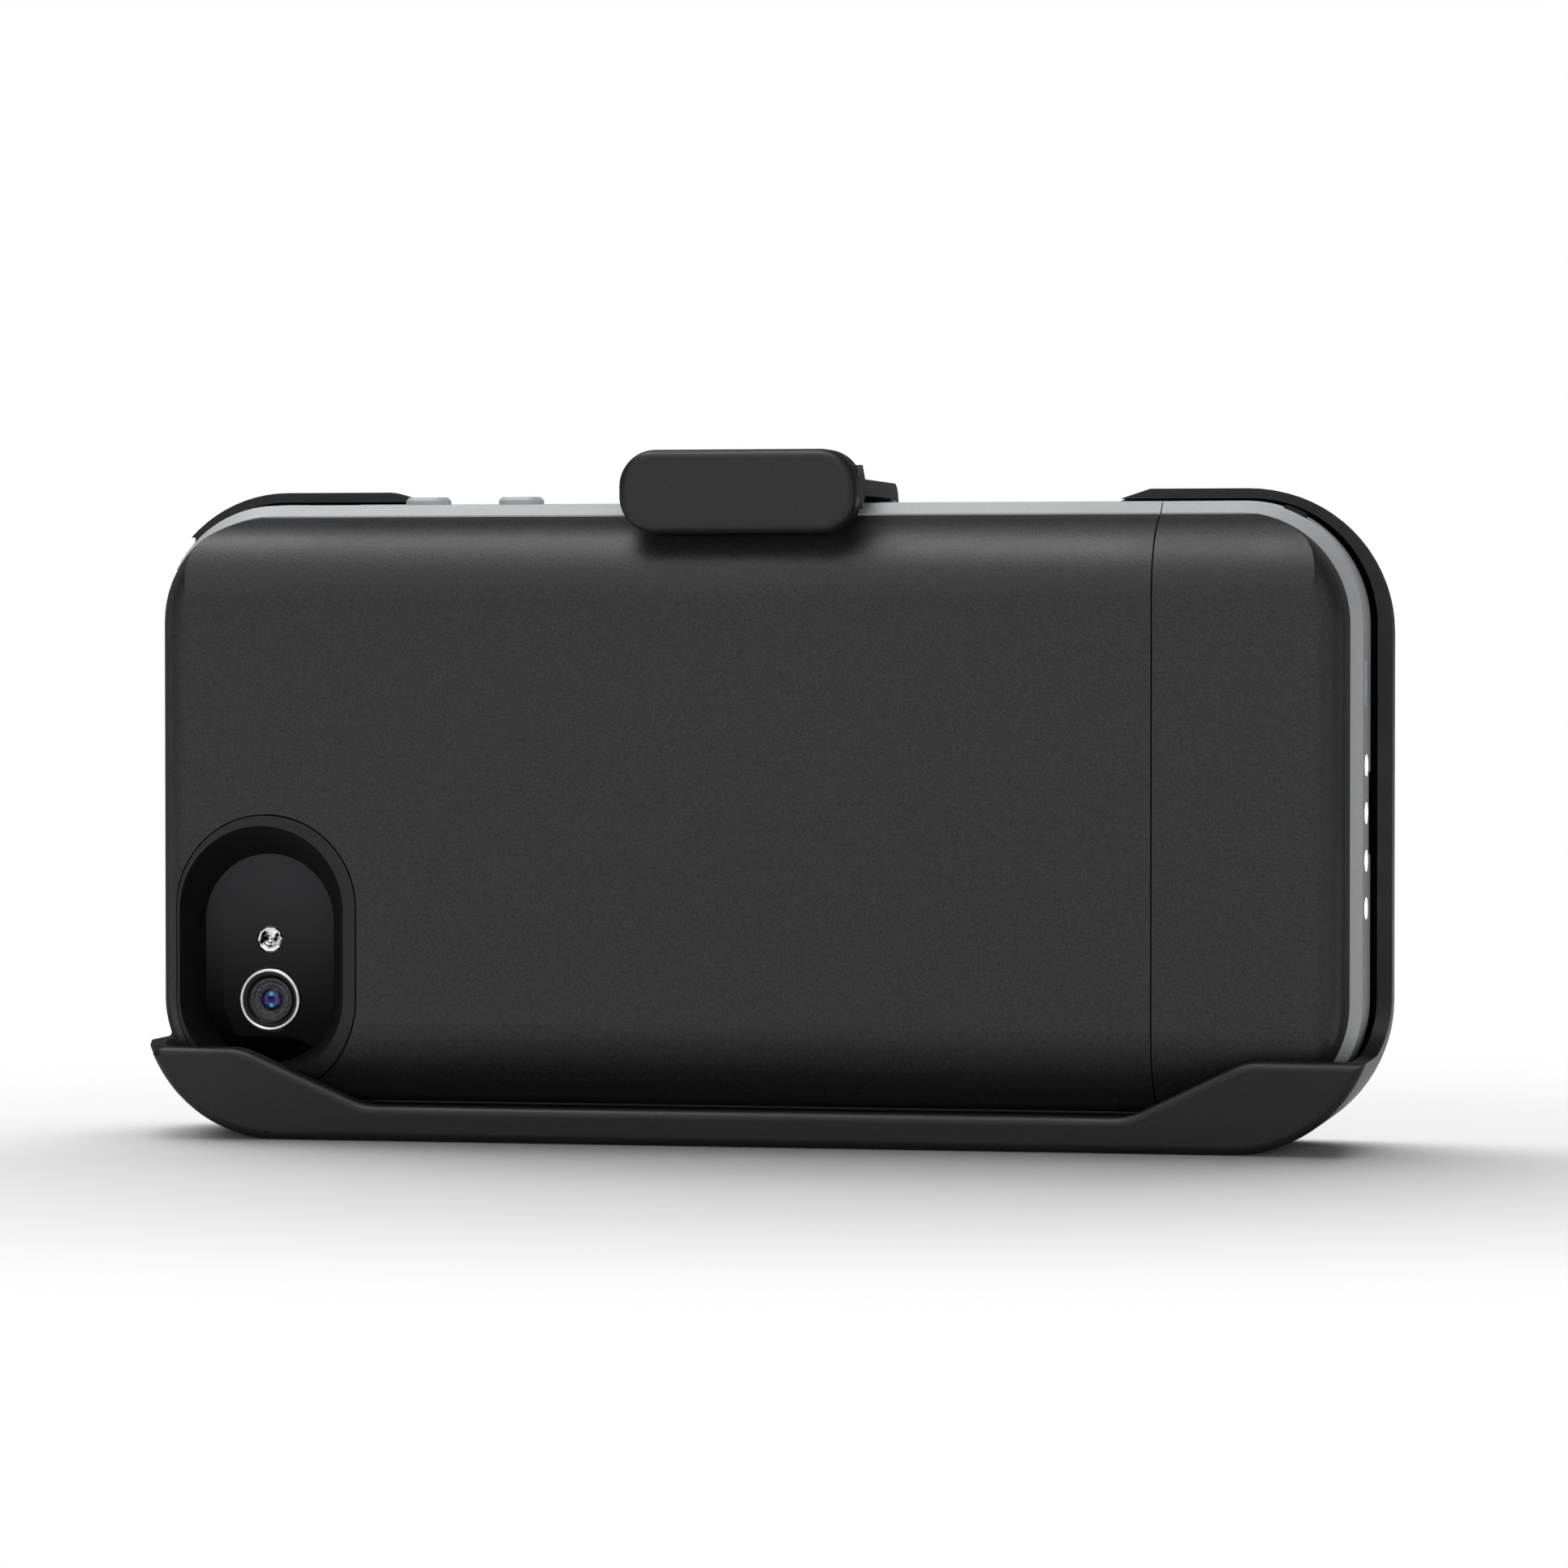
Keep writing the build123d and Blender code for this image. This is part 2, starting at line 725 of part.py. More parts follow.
def phone_glass(depth, outer_side):
    """Glass plate of the phone, with its edge eased on the outer side."""
    with BuildPart() as plate:
        with BuildSketch(facing(depth)):
            with Locations((phone_mid, case_mid)):
                RectangleRounded(
                    phone_length - 2 * glass_inset,
                    phone_width - 2 * glass_inset,
                    phone_corner - glass_inset,
                )
        extrude(amount=-glass_thickness)
        chamfer(plate.faces().sort_by(Axis.Y)[outer_side].edges(), glass_edge)
    return plate.part


lens_z = case_bottom + lens_above_case
flash_z = lens_z + flash_pitch
lens_hole = lens_radius + lens_ring_wall + camera_fit

# Glass on the phone's back, with the camera's two holes
with BuildPart() as phone_back_glass:
    add(phone_glass(phone_back, 0))
    with BuildSketch(facing(phone_back - 1)):
        with Locations((lens_place, lens_z)):
            Circle(lens_hole)
        with Locations((lens_place, flash_z)):
            Circle(flash_radius + camera_fit)
    extrude(amount=-(glass_thickness + 1), mode=Mode.SUBTRACT)
save(phone_back_glass, "phone_back_glass")

# Glass on the phone's screen side
with BuildPart() as phone_front_glass:
    add(phone_glass(phone_front - glass_thickness, -1))
save(phone_front_glass, "phone_front_glass")

# Bright ring round the lens
with BuildPart() as camera_ring:
    with BuildSketch(facing(phone_back - lens_ring_proud)):
        with Locations((lens_place, lens_z)):
            Circle(lens_radius + lens_ring_wall)
            Circle(lens_radius, mode=Mode.SUBTRACT)
    extrude(amount=-(glass_thickness + lens_ring_proud))
    chamfer(camera_ring.faces().sort_by(Axis.Y)[0].edges(), lens_ring_wall / 4)
save(camera_ring, "camera_ring")

# Lens behind its cover
with BuildPart() as camera_lens:
    with BuildSketch(facing(phone_back)):
        with Locations((lens_place, lens_z)):
            Circle(lens_radius - camera_fit)
    extrude(amount=-glass_thickness)
    chamfer(camera_lens.faces().sort_by(Axis.Y)[0].edges(), lens_dome)
save(camera_lens, "camera_lens")

# Flash
with BuildPart() as camera_flash:
    with BuildSketch(facing(phone_back)):
        with Locations((lens_place, flash_z)):
            Circle(flash_radius)
    extrude(amount=-glass_thickness)
    chamfer(camera_flash.faces().sort_by(Axis.Y)[0].edges(), camera_fit)
save(camera_flash, "camera_flash")

# Latch places: the tab hooks over the rolled edge, the axis lies behind the back plate
tab_bottom = case_top - tab_hook
hook_drop = long_roll - (tab_hook - band_inset)
tab_inner = long_roll - sqrt(long_roll**2 - hook_drop**2) - hook_gap
arm_bottom = case_top + arm_gap
latch_axis_z = arm_bottom + arm_thickness - latch_barrel
latch_axis_depth = plate_outer + latch_axis_behind
lug_radius = latch_barrel - lug_ease
hinge_floor = latch_axis_z - latch_barrel - knuckle_gap
lug_root_z = hinge_floor - lug_drop
latch_coil = latch_pin_radius + spring_fit + spring_wire / 2

# Belt clip places
base_inner = plate_outer + swivel_boss_height + clip_plate_gap
base_outer = base_inner + clip_plate_thickness
clip_inner = base_outer + belt_room
clip_hook = clip_inner - plate_outer - clip_tip_gap
clip_coil = clip_pin_radius + spring_fit + spring_wire / 2
clip_axis_depth = clip_inner + clip_coil - spring_wire / 2 - pin_fit
clip_axis_z = swivel_z + clip_axis_above
clip_width = clip_plate_width - 2 * (ear_thickness + ear_gap)


def tuck(depth):
    """How far the holster's left end is drawn in at a depth in front of its straight part."""
    return left_tuck * (tuck_depth - depth) / (tuck_depth - lip_front)


def pocket_outline(depth):
    """Outline of the case's room in the holster at a depth."""
    return outline(
        pocket_left + tuck(depth),
        pocket_right,
        case_bottom - case_gap,
        case_top + case_gap,
        left_corner + case_gap,
        case_corner + case_gap,
    )


def holster_outline(depth):
    """Outer outline of the holster at a depth."""
    return outline(
        holster_left + tuck(depth),
        holster_right,
        0,
        holster_height,
        left_corner + corner_grow,
        case_corner + corner_grow,
    )


# Room inside the holster for the case
with BuildPart() as case_pocket:
    for depth in (-lip_gap, tuck_depth):
        with BuildSketch(facing(depth)):
            add(pocket_outline(depth))
    loft(ruled=True)
    with BuildSketch(facing(tuck_depth)):
        add(pocket_outline(tuck_depth))
    extrude(amount=-(plate_inner - tuck_depth))
    chamfer(case_pocket.faces().sort_by(Axis.Y)[-1].edges(), inner_round)

# Holster: back plate, rim corners, bottom wall, front rail and corner brackets in one moulding
with BuildPart() as holster_shell:
    for depth in (lip_front, tuck_depth):
        with BuildSketch(facing(depth)):
            add(holster_outline(depth))
    loft(ruled=True)
    with BuildSketch(facing(tuck_depth)):
        add(holster_outline(tuck_depth))
    extrude(amount=-(plate_outer - tuck_depth))
    fillet(holster_shell.faces().sort_by(Axis.Y)[-1].edges(), back_round)
    add(case_pocket.part, mode=Mode.SUBTRACT)
    # Open front above the brackets
    with BuildSketch(along(-holster_length)) as open_front:
        with Locations(yz(rim_depth - holster_depth / 2, bracket_height + holster_height / 2)):
            Rectangle(holster_depth, holster_height)
        fillet(open_front.vertices().group_by(Axis.Y)[0].sort_by(Axis.X)[-1], rim_blend)
    extrude(amount=2 * holster_length, mode=Mode.SUBTRACT)
    # Front lip lowered to a rail between the brackets, with the left bracket's tip rounded off
    tip_radius = left_corner + corner_grow
    tip_sag = tip_radius - sqrt(tip_radius**2 - (tip_radius - bracket_height) ** 2)
    left_tip = holster_left + left_tuck + tip_sag
    with BuildSketch(facing(lip_front - 1)) as rail_cut:
        with BuildLine():
            Polyline(
                (left_tip, rail_height),
                (left_tip, bracket_height),
                (-ramp_outer_x, bracket_height),
                (-left_ramp_inner_x, rail_height),
                (ramp_inner_x, rail_height),
                (ramp_outer_x, bracket_height),
                (holster_length, bracket_height),
                (holster_length, holster_height),
                (-holster_length, holster_height),
                (-holster_length, rail_height),
                close=True,
            )
        make_face()
        ramp_corners = rail_cut.vertices().filter_by_position(Axis.X, -ramp_outer_x, ramp_outer_x)
        fillet(ramp_corners, ramp_round)
        fillet(rail_cut.vertices().sort_by_distance((left_tip, bracket_height))[0], tip_round)
    extrude(amount=-(holster_wall + 1 + lip_gap), mode=Mode.SUBTRACT)
    fillet(holster_shell.faces().sort_by(Axis.Y)[0].edges(), front_round)
    # Left rim scooped out beside the case's end
    with BuildSketch(along(-holster_length)) as scoop:
        scoop_high = holster_height - scoop_below_top
        with Locations(yz(scoop_depth - holster_depth / 2, (bracket_height + scoop_high) / 2)):
            Rectangle(holster_depth, scoop_high - bracket_height)
        fillet(scoop.vertices().group_by(Axis.X)[-1], scoop_round)
    extrude(amount=holster_length + holster_left + tip_radius, mode=Mode.SUBTRACT)
    # Shallow notch along the top edge
    with BuildSketch(facing(lip_front - 1)):
        with BuildLine():
            Polyline(
                (-notch_inner_x, holster_height - notch_below_top),
                (notch_inner_x, holster_height - notch_below_top),
                (notch_outer_x, holster_height),
                (notch_outer_x, holster_height + 1),
                (-notch_outer_x, holster_height + 1),
                (-notch_outer_x, holster_height),
                close=True,
            )
        make_face()
    extrude(amount=-(holster_depth + 2), mode=Mode.SUBTRACT)
    # Swivel boss, hub hole and rivet recess
    with BuildSketch(facing(plate_outer)):
        with Locations((0, swivel_z)):
            Circle(swivel_boss_radius)
    extrude(amount=-swivel_boss_height)
    with BuildSketch(facing(plate_inner)):
        with Locations((0, swivel_z)):
            Circle(hub_radius + hub_fit)
    extrude(amount=-(plate_thickness + swivel_boss_height), mode=Mode.SUBTRACT)
    with BuildSketch(facing(plate_inner)):
        with Locations((0, swivel_z)):
            Circle(rivet_head_radius + rivet_room)
    extrude(amount=-rivet_recess, mode=Mode.SUBTRACT)
    # Gap for the latch's knuckles, then the two lugs with the spring's slot between them
    with BuildSketch(facing(rim_depth)):
        with Locations((0, hinge_floor + holster_height / 2)):
            Rectangle(latch_width + 4 * knuckle_gap, holster_height)
    extrude(amount=-holster_depth, mode=Mode.SUBTRACT)
    with BuildSketch(along(-lug_half_width)):
        with Locations(yz(latch_axis_depth, latch_axis_z)):
            Circle(lug_radius)
        with BuildLine():
            Polyline(
                yz(plate_inner, lug_root_z),
                yz(plate_outer, lug_root_z),
                yz(latch_axis_depth + lug_radius, hinge_floor),
                yz(latch_axis_depth + lug_radius, latch_axis_z),
                yz(latch_axis_depth - lug_radius, latch_axis_z),
                yz(latch_axis_depth - lug_radius, hinge_floor),
                yz(plate_inner, hinge_floor),
                close=True,
            )
        make_face()
    extrude(amount=2 * lug_half_width)
    with BuildSketch(along(-spring_slot / 2)):
        with Locations(yz(latch_axis_depth, hinge_floor + holster_height / 2)):
            Rectangle(holster_depth, holster_height)
        slot_floor = latch_axis_depth + latch_coil - spring_wire / 2 - pin_fit
        with Locations(yz(slot_floor + holster_depth / 2, lug_root_z + holster_height / 2)):
            Rectangle(holster_depth, holster_height)
    extrude(amount=spring_slot, mode=Mode.SUBTRACT)
    with BuildSketch(along(-holster_length / 2)):
        with Locations(yz(latch_axis_depth, latch_axis_z)):
            Circle(latch_pin_radius + pin_fit)
    extrude(amount=holster_length, mode=Mode.SUBTRACT)
save(holster_shell, "holster_shell")

# Release latch: thumb tab with its hook, arm over the case, two knuckles on the pin
with BuildPart() as release_latch:
    with BuildSketch(facing(tab_inner - tab_thickness)):
        with Locations((0, tab_bottom + tab_height / 2)):
            RectangleRounded(latch_width, tab_height, tab_corner)
    extrude(amount=-tab_thickness)
    fillet(release_latch.faces().sort_by(Axis.Y)[0].edges(), tab_edge)
    with BuildSketch(along(-latch_width / 2)) as arm_section:
        with BuildLine():
            arm_top = arm_bottom + arm_thickness
            Polyline(
                yz(tab_inner, arm_bottom - arm_blend),
                yz(tab_inner + arm_blend, arm_bottom),
                yz(latch_axis_depth, arm_bottom),
                yz(latch_axis_depth, arm_top),
                yz(tab_inner + arm_blend, arm_top),
                yz(tab_inner, arm_top + arm_blend),
                yz(tab_inner - tab_thickness / 2, arm_top),
                yz(tab_inner - tab_thickness / 2, arm_bottom),
                close=True,
            )
        make_face()
        with Locations(yz(latch_axis_depth, latch_axis_z)):
            Circle(latch_barrel)
    extrude(amount=latch_width)
    with BuildSketch(facing(latch_axis_depth - latch_barrel - 2 * knuckle_gap)):
        with Locations((0, latch_axis_z)):
            Rectangle(2 * (lug_half_width + knuckle_gap), 4 * latch_barrel)
    extrude(amount=-4 * latch_barrel, mode=Mode.SUBTRACT)
    with BuildSketch(facing(latch_axis_depth - latch_barrel - 2 * knuckle_gap)):
        with Locations((-latch_turns * spring_pitch / 2, latch_axis_z + latch_coil)):
            Rectangle(spring_wire + 2 * run_fit, spring_wire + 2 * run_fit)
    extrude(amount=latch_leg, mode=Mode.SUBTRACT)
    with BuildSketch(along(-latch_width)):
        with Locations(yz(latch_axis_depth, latch_axis_z)):
            Circle(latch_pin_radius + run_fit)
    extrude(amount=2 * latch_width, mode=Mode.SUBTRACT)
save(release_latch, "release_latch")


def hinge_pin(name, depth, z, radius, length):
    """Plain hinge pin along X."""
    with BuildPart() as pin:
        with BuildSketch(along(-length / 2)):
            with Locations(yz(depth, z)):
                Circle(radius)
        extrude(amount=length)
        chamfer(pin.edges().filter_by(GeomType.CIRCLE), radius / 5)
    save(pin, name)


def torsion_spring(name, depth, z, coil, turns, first_leg, last_leg):
    """Torsion spring of square wire round a pin: the first leg runs forward from the top of the coil."""
    with BuildPart() as spring:
        with BuildLine() as coil_line:
            Helix(
                pitch=spring_pitch,
                height=turns * spring_pitch,
                radius=coil,
                center=(-turns * spring_pitch / 2, case_back_y + depth, z),
                direction=(1, 0, 0),
                lefthand=True,
            )
        with BuildSketch(Plane(coil_line.line @ 0, x_dir=(1, 0, 0), z_dir=coil_line.line % 0)):
            Rectangle(spring_wire, spring_wire)
        sweep(path=coil_line.line, is_frenet=True)
        first_way = coil_line.line % 0
        with BuildSketch(Plane(coil_line.line @ 0, x_dir=(1, 0, 0), z_dir=(0, first_way.Y, first_way.Z))):
            Rectangle(spring_wire, spring_wire)
        extrude(amount=-first_leg)
        last_way = coil_line.line % 1
        with BuildSketch(Plane(coil_line.line @ 1, x_dir=(1, 0, 0), z_dir=(0, last_way.Y, last_way.Z))):
            Rectangle(spring_wire, spring_wire)
        extrude(amount=last_leg)
    save(spring, name)


hinge_pin("latch_pin", latch_axis_depth, latch_axis_z, latch_pin_radius, latch_width)
torsion_spring("latch_spring", latch_axis_depth, latch_axis_z, latch_coil, latch_turns, latch_leg, latch_leg)

# Swivel plate of the belt clip, with its hub and two ears
with BuildPart() as clip_base:
    with BuildSketch(facing(base_inner)) as base_outline:
        with Locations((0, swivel_z + clip_plate_top / 2)):
            RectangleRounded(clip_plate_width, clip_plate_top, ear_thickness)
        with Locations((0, swivel_z)):
            Circle(clip_plate_radius)
    extrude(amount=-clip_plate_thickness)
    with BuildSketch(facing(base_inner)):
        with Locations((0, swivel_z)):
            Circle(hub_radius)
    extrude(amount=base_inner - plate_inner - rivet_recess + rivet_play)
    with BuildSketch(along(-clip_plate_width / 2)):
        with Locations(yz(clip_axis_depth, clip_axis_z)):
            Circle(clip_barrel)
        with BuildLine():
            Polyline(
                yz(base_outer, clip_axis_z - 1.5 * clip_barrel),
                yz(clip_axis_depth, clip_axis_z - clip_barrel),
                yz(clip_axis_depth, clip_axis_z + clip_barrel),
                yz(base_outer, clip_axis_z + clip_barrel),
                close=True,
            )
        make_face()
    extrude(amount=clip_plate_width)
    with BuildSketch(facing(base_outer)):
        with Locations((0, clip_axis_z)):
            Rectangle(clip_width + 2 * ear_gap, 8 * clip_barrel)
    extrude(amount=-4 * belt_room, mode=Mode.SUBTRACT)
    with BuildSketch(along(-clip_plate_width)):
        with Locations(yz(clip_axis_depth, clip_axis_z)):
            Circle(clip_pin_radius + pin_fit)
    extrude(amount=2 * clip_plate_width, mode=Mode.SUBTRACT)
    with BuildSketch(facing(plate_inner)):
        with Locations((0, swivel_z)):
            Circle(rivet_radius + pin_fit)
    extrude(amount=-(base_outer - plate_inner), mode=Mode.SUBTRACT)
save(clip_base, "clip_base")

# Rivet through the hub, its head inside the holster
with BuildPart() as swivel_rivet:
    rivet_face = plate_inner + rivet_recess - rivet_play
    with BuildSketch(facing(rivet_face)):
        with Locations((0, swivel_z)):
            Circle(rivet_head_radius)
    extrude(amount=rivet_head_thickness)
    with BuildSketch(facing(rivet_face)):
        with Locations((0, swivel_z)):
            Circle(rivet_radius)
    extrude(amount=-(base_outer - rivet_face))
save(swivel_rivet, "swivel_rivet")

# Belt clip arm: thumb pad above the pin, long arm and hooked end below it
with BuildPart() as belt_clip:
    clip_low = swivel_z - clip_arm_below
    clip_high = clip_axis_z + clip_pad_above
    clip_mid = clip_inner + clip_arm_thickness / 2
    with BuildSketch(along(-clip_width / 2)):
        with BuildLine():
            FilletPolyline(
                yz(clip_mid, clip_high),
                yz(clip_mid, clip_low + 2 * clip_hook_rise),
                yz(clip_mid - clip_hook, clip_low + clip_hook_rise),
                yz(clip_mid - clip_hook + clip_flare, clip_low),
                radius=clip_bend,
            )
        trace(line_width=clip_arm_thickness)
        with Locations(yz(clip_axis_depth, clip_axis_z)):
            Circle(clip_barrel)
    extrude(amount=clip_width)
    with BuildSketch(facing(clip_inner - 2 * clip_hook)):
        with Locations((0, (clip_low + clip_high) / 2)):
            RectangleRounded(clip_width, clip_high - clip_low, clip_corner)
    extrude(amount=-6 * clip_hook, mode=Mode.INTERSECT)
    with BuildSketch(facing(clip_inner + clip_arm_thickness)):
        with Locations(*[(0, clip_high - clip_corner + grip_pitch * i) for i in (-1, 0, 1)]):
            SlotOverall(clip_width - clip_corner, grip_width)
    extrude(amount=-grip_height)
    with BuildSketch(facing(clip_inner - 2 * clip_hook)):
        with Locations((0, clip_axis_z)):
            Rectangle(spring_window, 2 * clip_barrel + 4 * run_fit)
    extrude(amount=-6 * clip_hook, mode=Mode.SUBTRACT)
    with BuildSketch(along(-clip_width)):
        with Locations(yz(clip_axis_depth, clip_axis_z)):
            Circle(clip_pin_radius + run_fit)
    extrude(amount=2 * clip_width, mode=Mode.SUBTRACT)
save(belt_clip, "belt_clip")

hinge_pin("clip_pin", clip_axis_depth, clip_axis_z, clip_pin_radius, clip_plate_width)
clip_leg = clip_axis_depth - base_outer - spring_wire / 2
torsion_spring("clip_spring", clip_axis_depth, clip_axis_z, clip_coil, clip_turns, clip_leg, clip_leg)
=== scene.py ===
"""Battery charging case in its belt-clip holster: finishes, camera details and studio stage."""

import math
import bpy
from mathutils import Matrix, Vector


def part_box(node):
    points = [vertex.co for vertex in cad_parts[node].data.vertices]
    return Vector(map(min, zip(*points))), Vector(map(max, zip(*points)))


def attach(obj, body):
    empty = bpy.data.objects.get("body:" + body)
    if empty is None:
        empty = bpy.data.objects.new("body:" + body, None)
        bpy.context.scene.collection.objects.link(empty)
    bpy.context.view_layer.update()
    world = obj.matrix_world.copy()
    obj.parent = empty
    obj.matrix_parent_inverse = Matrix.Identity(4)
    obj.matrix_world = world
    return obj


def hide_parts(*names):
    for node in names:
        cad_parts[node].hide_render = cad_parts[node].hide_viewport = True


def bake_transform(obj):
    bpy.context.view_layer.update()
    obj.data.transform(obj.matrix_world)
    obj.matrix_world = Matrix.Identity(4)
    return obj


bl_info = {
    "name": "Battery charging case",
    "version": (1, 0, 0),
    "blender": (4, 5, 0),
    "location": "View3D > Sidebar > Battery case",
    "description": "Dresses the battery case, its holster and its phone, and sets up the studio stage",
    "category": "3D View",
}

import bmesh
import bpy
from bpy.props import FloatProperty, FloatVectorProperty, IntProperty, PointerProperty
from mathutils import Vector

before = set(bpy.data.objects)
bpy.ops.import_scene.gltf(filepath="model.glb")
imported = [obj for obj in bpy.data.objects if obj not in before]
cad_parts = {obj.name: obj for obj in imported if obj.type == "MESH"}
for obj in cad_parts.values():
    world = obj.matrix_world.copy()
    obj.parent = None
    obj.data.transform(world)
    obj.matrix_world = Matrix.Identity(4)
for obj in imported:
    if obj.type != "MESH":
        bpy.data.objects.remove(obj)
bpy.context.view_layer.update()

MM = 0.001
# Profiles of the round camera pieces, from rim to middle: share of the radius, depth from the front in mm
BARREL_STEPS = (
    (1.0, 0.04),
    (0.93, 0.02),
    (0.88, 0.06),
    (0.87, 0.30),
    (0.74, 0.32),
    (0.72, 0.28),
    (0.70, 0.34),
    (0.69, 0.52),
    (0.58, 0.54),
    (0.56, 0.50),
    (0.54, 0.56),
    (0.53, 0.70),
    (0.42, 0.72),
)
LENS_DOME = ((0.40, 0.66), (0.36, 0.58), (0.28, 0.50), (0.19, 0.45), (0.10, 0.425), (0.0, 0.42))
FLASH_STEPS = (
    (1.0, 0.10),
    (0.94, 0.01),
    (0.80, 0.05),
    (0.72, 0.22),
    (0.50, 0.08),
    (0.40, 0.26),
    (0.2, 0.12),
    (0, 0.2),
)

# Rounded front of the lens ring: share of the wall outwards from the bore, depth from the front in walls
RING_ROUND = (
    (1.0, 0.50),
    (0.97, 0.30),
    (0.88, 0.12),
    (0.70, 0.03),
    (0.50, 0.0),
    (0.30, 0.03),
    (0.12, 0.12),
    (0.03, 0.30),
    (0.0, 0.50),
)

# Glints on the lens, in shares of its radius
GLINT_HEIGHTS = (-0.21, 0.21)
GLINT_CORE = 0.05
GLINT_EDGE = 0.10

CLOUD_SHINE = 0.04  # change in roughness over a moulding
UNDERSIDE_SHADE_FADE = 0.0008  # over which the painted shade on the band's underside fades out, above the back shell's lower edge
REFLECTION_FOOT = 0.004  # from the window's lower edge to where the glass's painted reflection begins
REFLECTION_HEAD = 0.006  # from the window's upper edge to where the painted reflection is full
LIT_DEPTH = 0.0012  # from the light guide's face to where its glow has faded
LIT_FACE = 0.0001  # from that face to where the glow is full

SENSOR_WIDTH = 36.0
FLOOR_HALF = 4
FLOOR_BOUNCE = (0.52, 0.52, 0.52)  # colour of the floor for diffuse light
FLOOR_SEEN = (0.93, 0.93, 0.93)  # colour of the floor for the camera and for reflections
FLOOR_STRETCH = (0.85, 1.0, 1.0)
LAMP_AIM = (0.0, 0.0, 0.03)
# Place, size, setting with the power, and whether it shows in reflections only
LAMPS = {
    "overhead_softbox": ((0.0, 0.10, 0.85), (0.7, 0.25), "key_power", False),
    "back_softbox": ((-0.30, 0.60, 0.80), (1.5, 0.9), "back_power", False),
    "front_softbox": ((0.20, -1.10, 0.13), (1.0, 0.24), "fill_power", False),
    "top_card": ((-0.18, -0.16, 0.85), (1.0, 0.36), "top_card", True),
    "front_card": ((-0.20, -0.95, 0.60), (1.2, 1.1), "front_card", True),
    "side_card": ((0.80, -0.60, 0.25), (0.5, 0.5), "side_card", True),
}


def colour_prop(name, description, default):
    """Setting that holds a linear RGB colour."""
    return FloatVectorProperty(
        name=name, description=description, default=default, subtype="COLOR", size=3, min=0.0, max=1.0
    )


def number_prop(name, description, default, **options):
    """Setting that holds one number; options go to FloatProperty."""
    return FloatProperty(name=name, description=description, default=default, **options)


def length_prop(name, description, default):
    """Setting that holds a length in metres."""
    return number_prop(name, description, default, unit="LENGTH", precision=5)


def power_prop(name, description, default):
    """Setting that holds a lamp's power in watts."""
    return number_prop(name, description, default, unit="POWER")


def angle_prop(name, description, degrees):
    """Setting that holds an angle, given here in degrees."""
    return number_prop(name, description, math.radians(degrees), subtype="ANGLE")


def count_prop(name, description, default, least):
    """Setting that holds a whole number, not less than least."""
    return IntProperty(name=name, description=description, default=default, min=least)


class CaseFinish(bpy.types.PropertyGroup):
    """Colours and grain of the case's and the holster's mouldings."""

    soft_touch: colour_prop("Soft-touch back", "Coat of the two back mouldings", (0.0190, 0.0190, 0.0192))
    band: colour_prop("Bumper band", "Light grey band and trays", (0.630, 0.638, 0.652))
    key: colour_prop("Keys", "Volume and status keys", (0.520, 0.545, 0.590))
    holster: colour_prop("Holster", "Holster shell and latch", (0.0115, 0.0115, 0.0118))
    clip: colour_prop("Belt clip", "Swivel plate and clip arm", (0.0140, 0.0140, 0.0146))
    bezel: colour_prop("Window insert", "Camera funnel and top end insert", (0.0065, 0.0065, 0.0070))
    coat_grain: length_prop("Coat grain", "Size of the soft-touch coat's speckle", 0.00021)
    mould_grain: length_prop("Mould grain", "Size of the spark-eroded mould texture", 0.00030)


class CameraDetail(bpy.types.PropertyGroup):
    """The phone's camera, which shows in the window."""

    lens_tint: colour_prop("Lens coating", "Coating in the middle of the lens", (0.150, 0.130, 0.800))
    glint: colour_prop("Lens glints", "Two small bright spots on the coating", (0.10, 0.85, 1.0))
    barrel: colour_prop("Lens barrel", "Stepped baffles round the lens", (0.095, 0.095, 0.097))
    segments: count_prop("Round segments", "Steps round the lens and its ring", 72, 24)
    flash_facets: count_prop("Flash facets", "Facets round the flash cover", 10, 5)


class ChargeLights(bpy.types.PropertyGroup):
    """The four lit charge lights."""

    glow: colour_prop("Glow", "Colour of the lit light guide", (1.0, 0.995, 0.985))
    strength: number_prop("Strength", "Brightness of the lit ends", 1.6, min=0.0)


class StudioStage(bpy.types.PropertyGroup):
    """Camera, floor, backdrop and lamps."""

    camera_place: FloatVectorProperty(
        name="Camera",
        description="Where the camera stands",
        default=(0.125024, -0.599975, 0.050631),
        unit="LENGTH",
    )
    camera_yaw: angle_prop("Yaw", "Turn to the left", 11.512)
    camera_pitch: angle_prop("Pitch", "Tilt upwards", -1.353)
    camera_lens: number_prop("Focal length", "Lens in mm on a 36 mm sensor", 138.29)
    key_power: power_prop("Overhead power", "Softbox above the part", 1.5)
    fill_power: power_prop("Fill power", "Low softbox in front", 3.7)
    back_power: power_prop("Back power", "Softbox behind the part", 13.5)
    top_card: power_prop("Top card", "Strip that shows in the rolled edge", 5.4)
    front_card: power_prop("Front card", "Panel that shows in the back face", 4.2)
    side_card: power_prop("Side card", "Panel that shows in the right end's roll", 0.6)
    room_level: number_prop("Room light", "Level of the room's own light", 0.10, min=0.0)
    white_from: length_prop("White from", "Distance on the floor where the plain white begins", 0.07)
    white_to: length_prop("White to", "Distance on the floor where all is plain white", 0.16)


def put(tree, kind, **values):
    """Add a node, set its own properties and, by input name, its sockets."""
    node = tree.nodes.new(kind)
    for name, value in values.items():
        if name in node.inputs:
            node.inputs[name].default_value = value
        else:
            setattr(node, name, value)
    return node


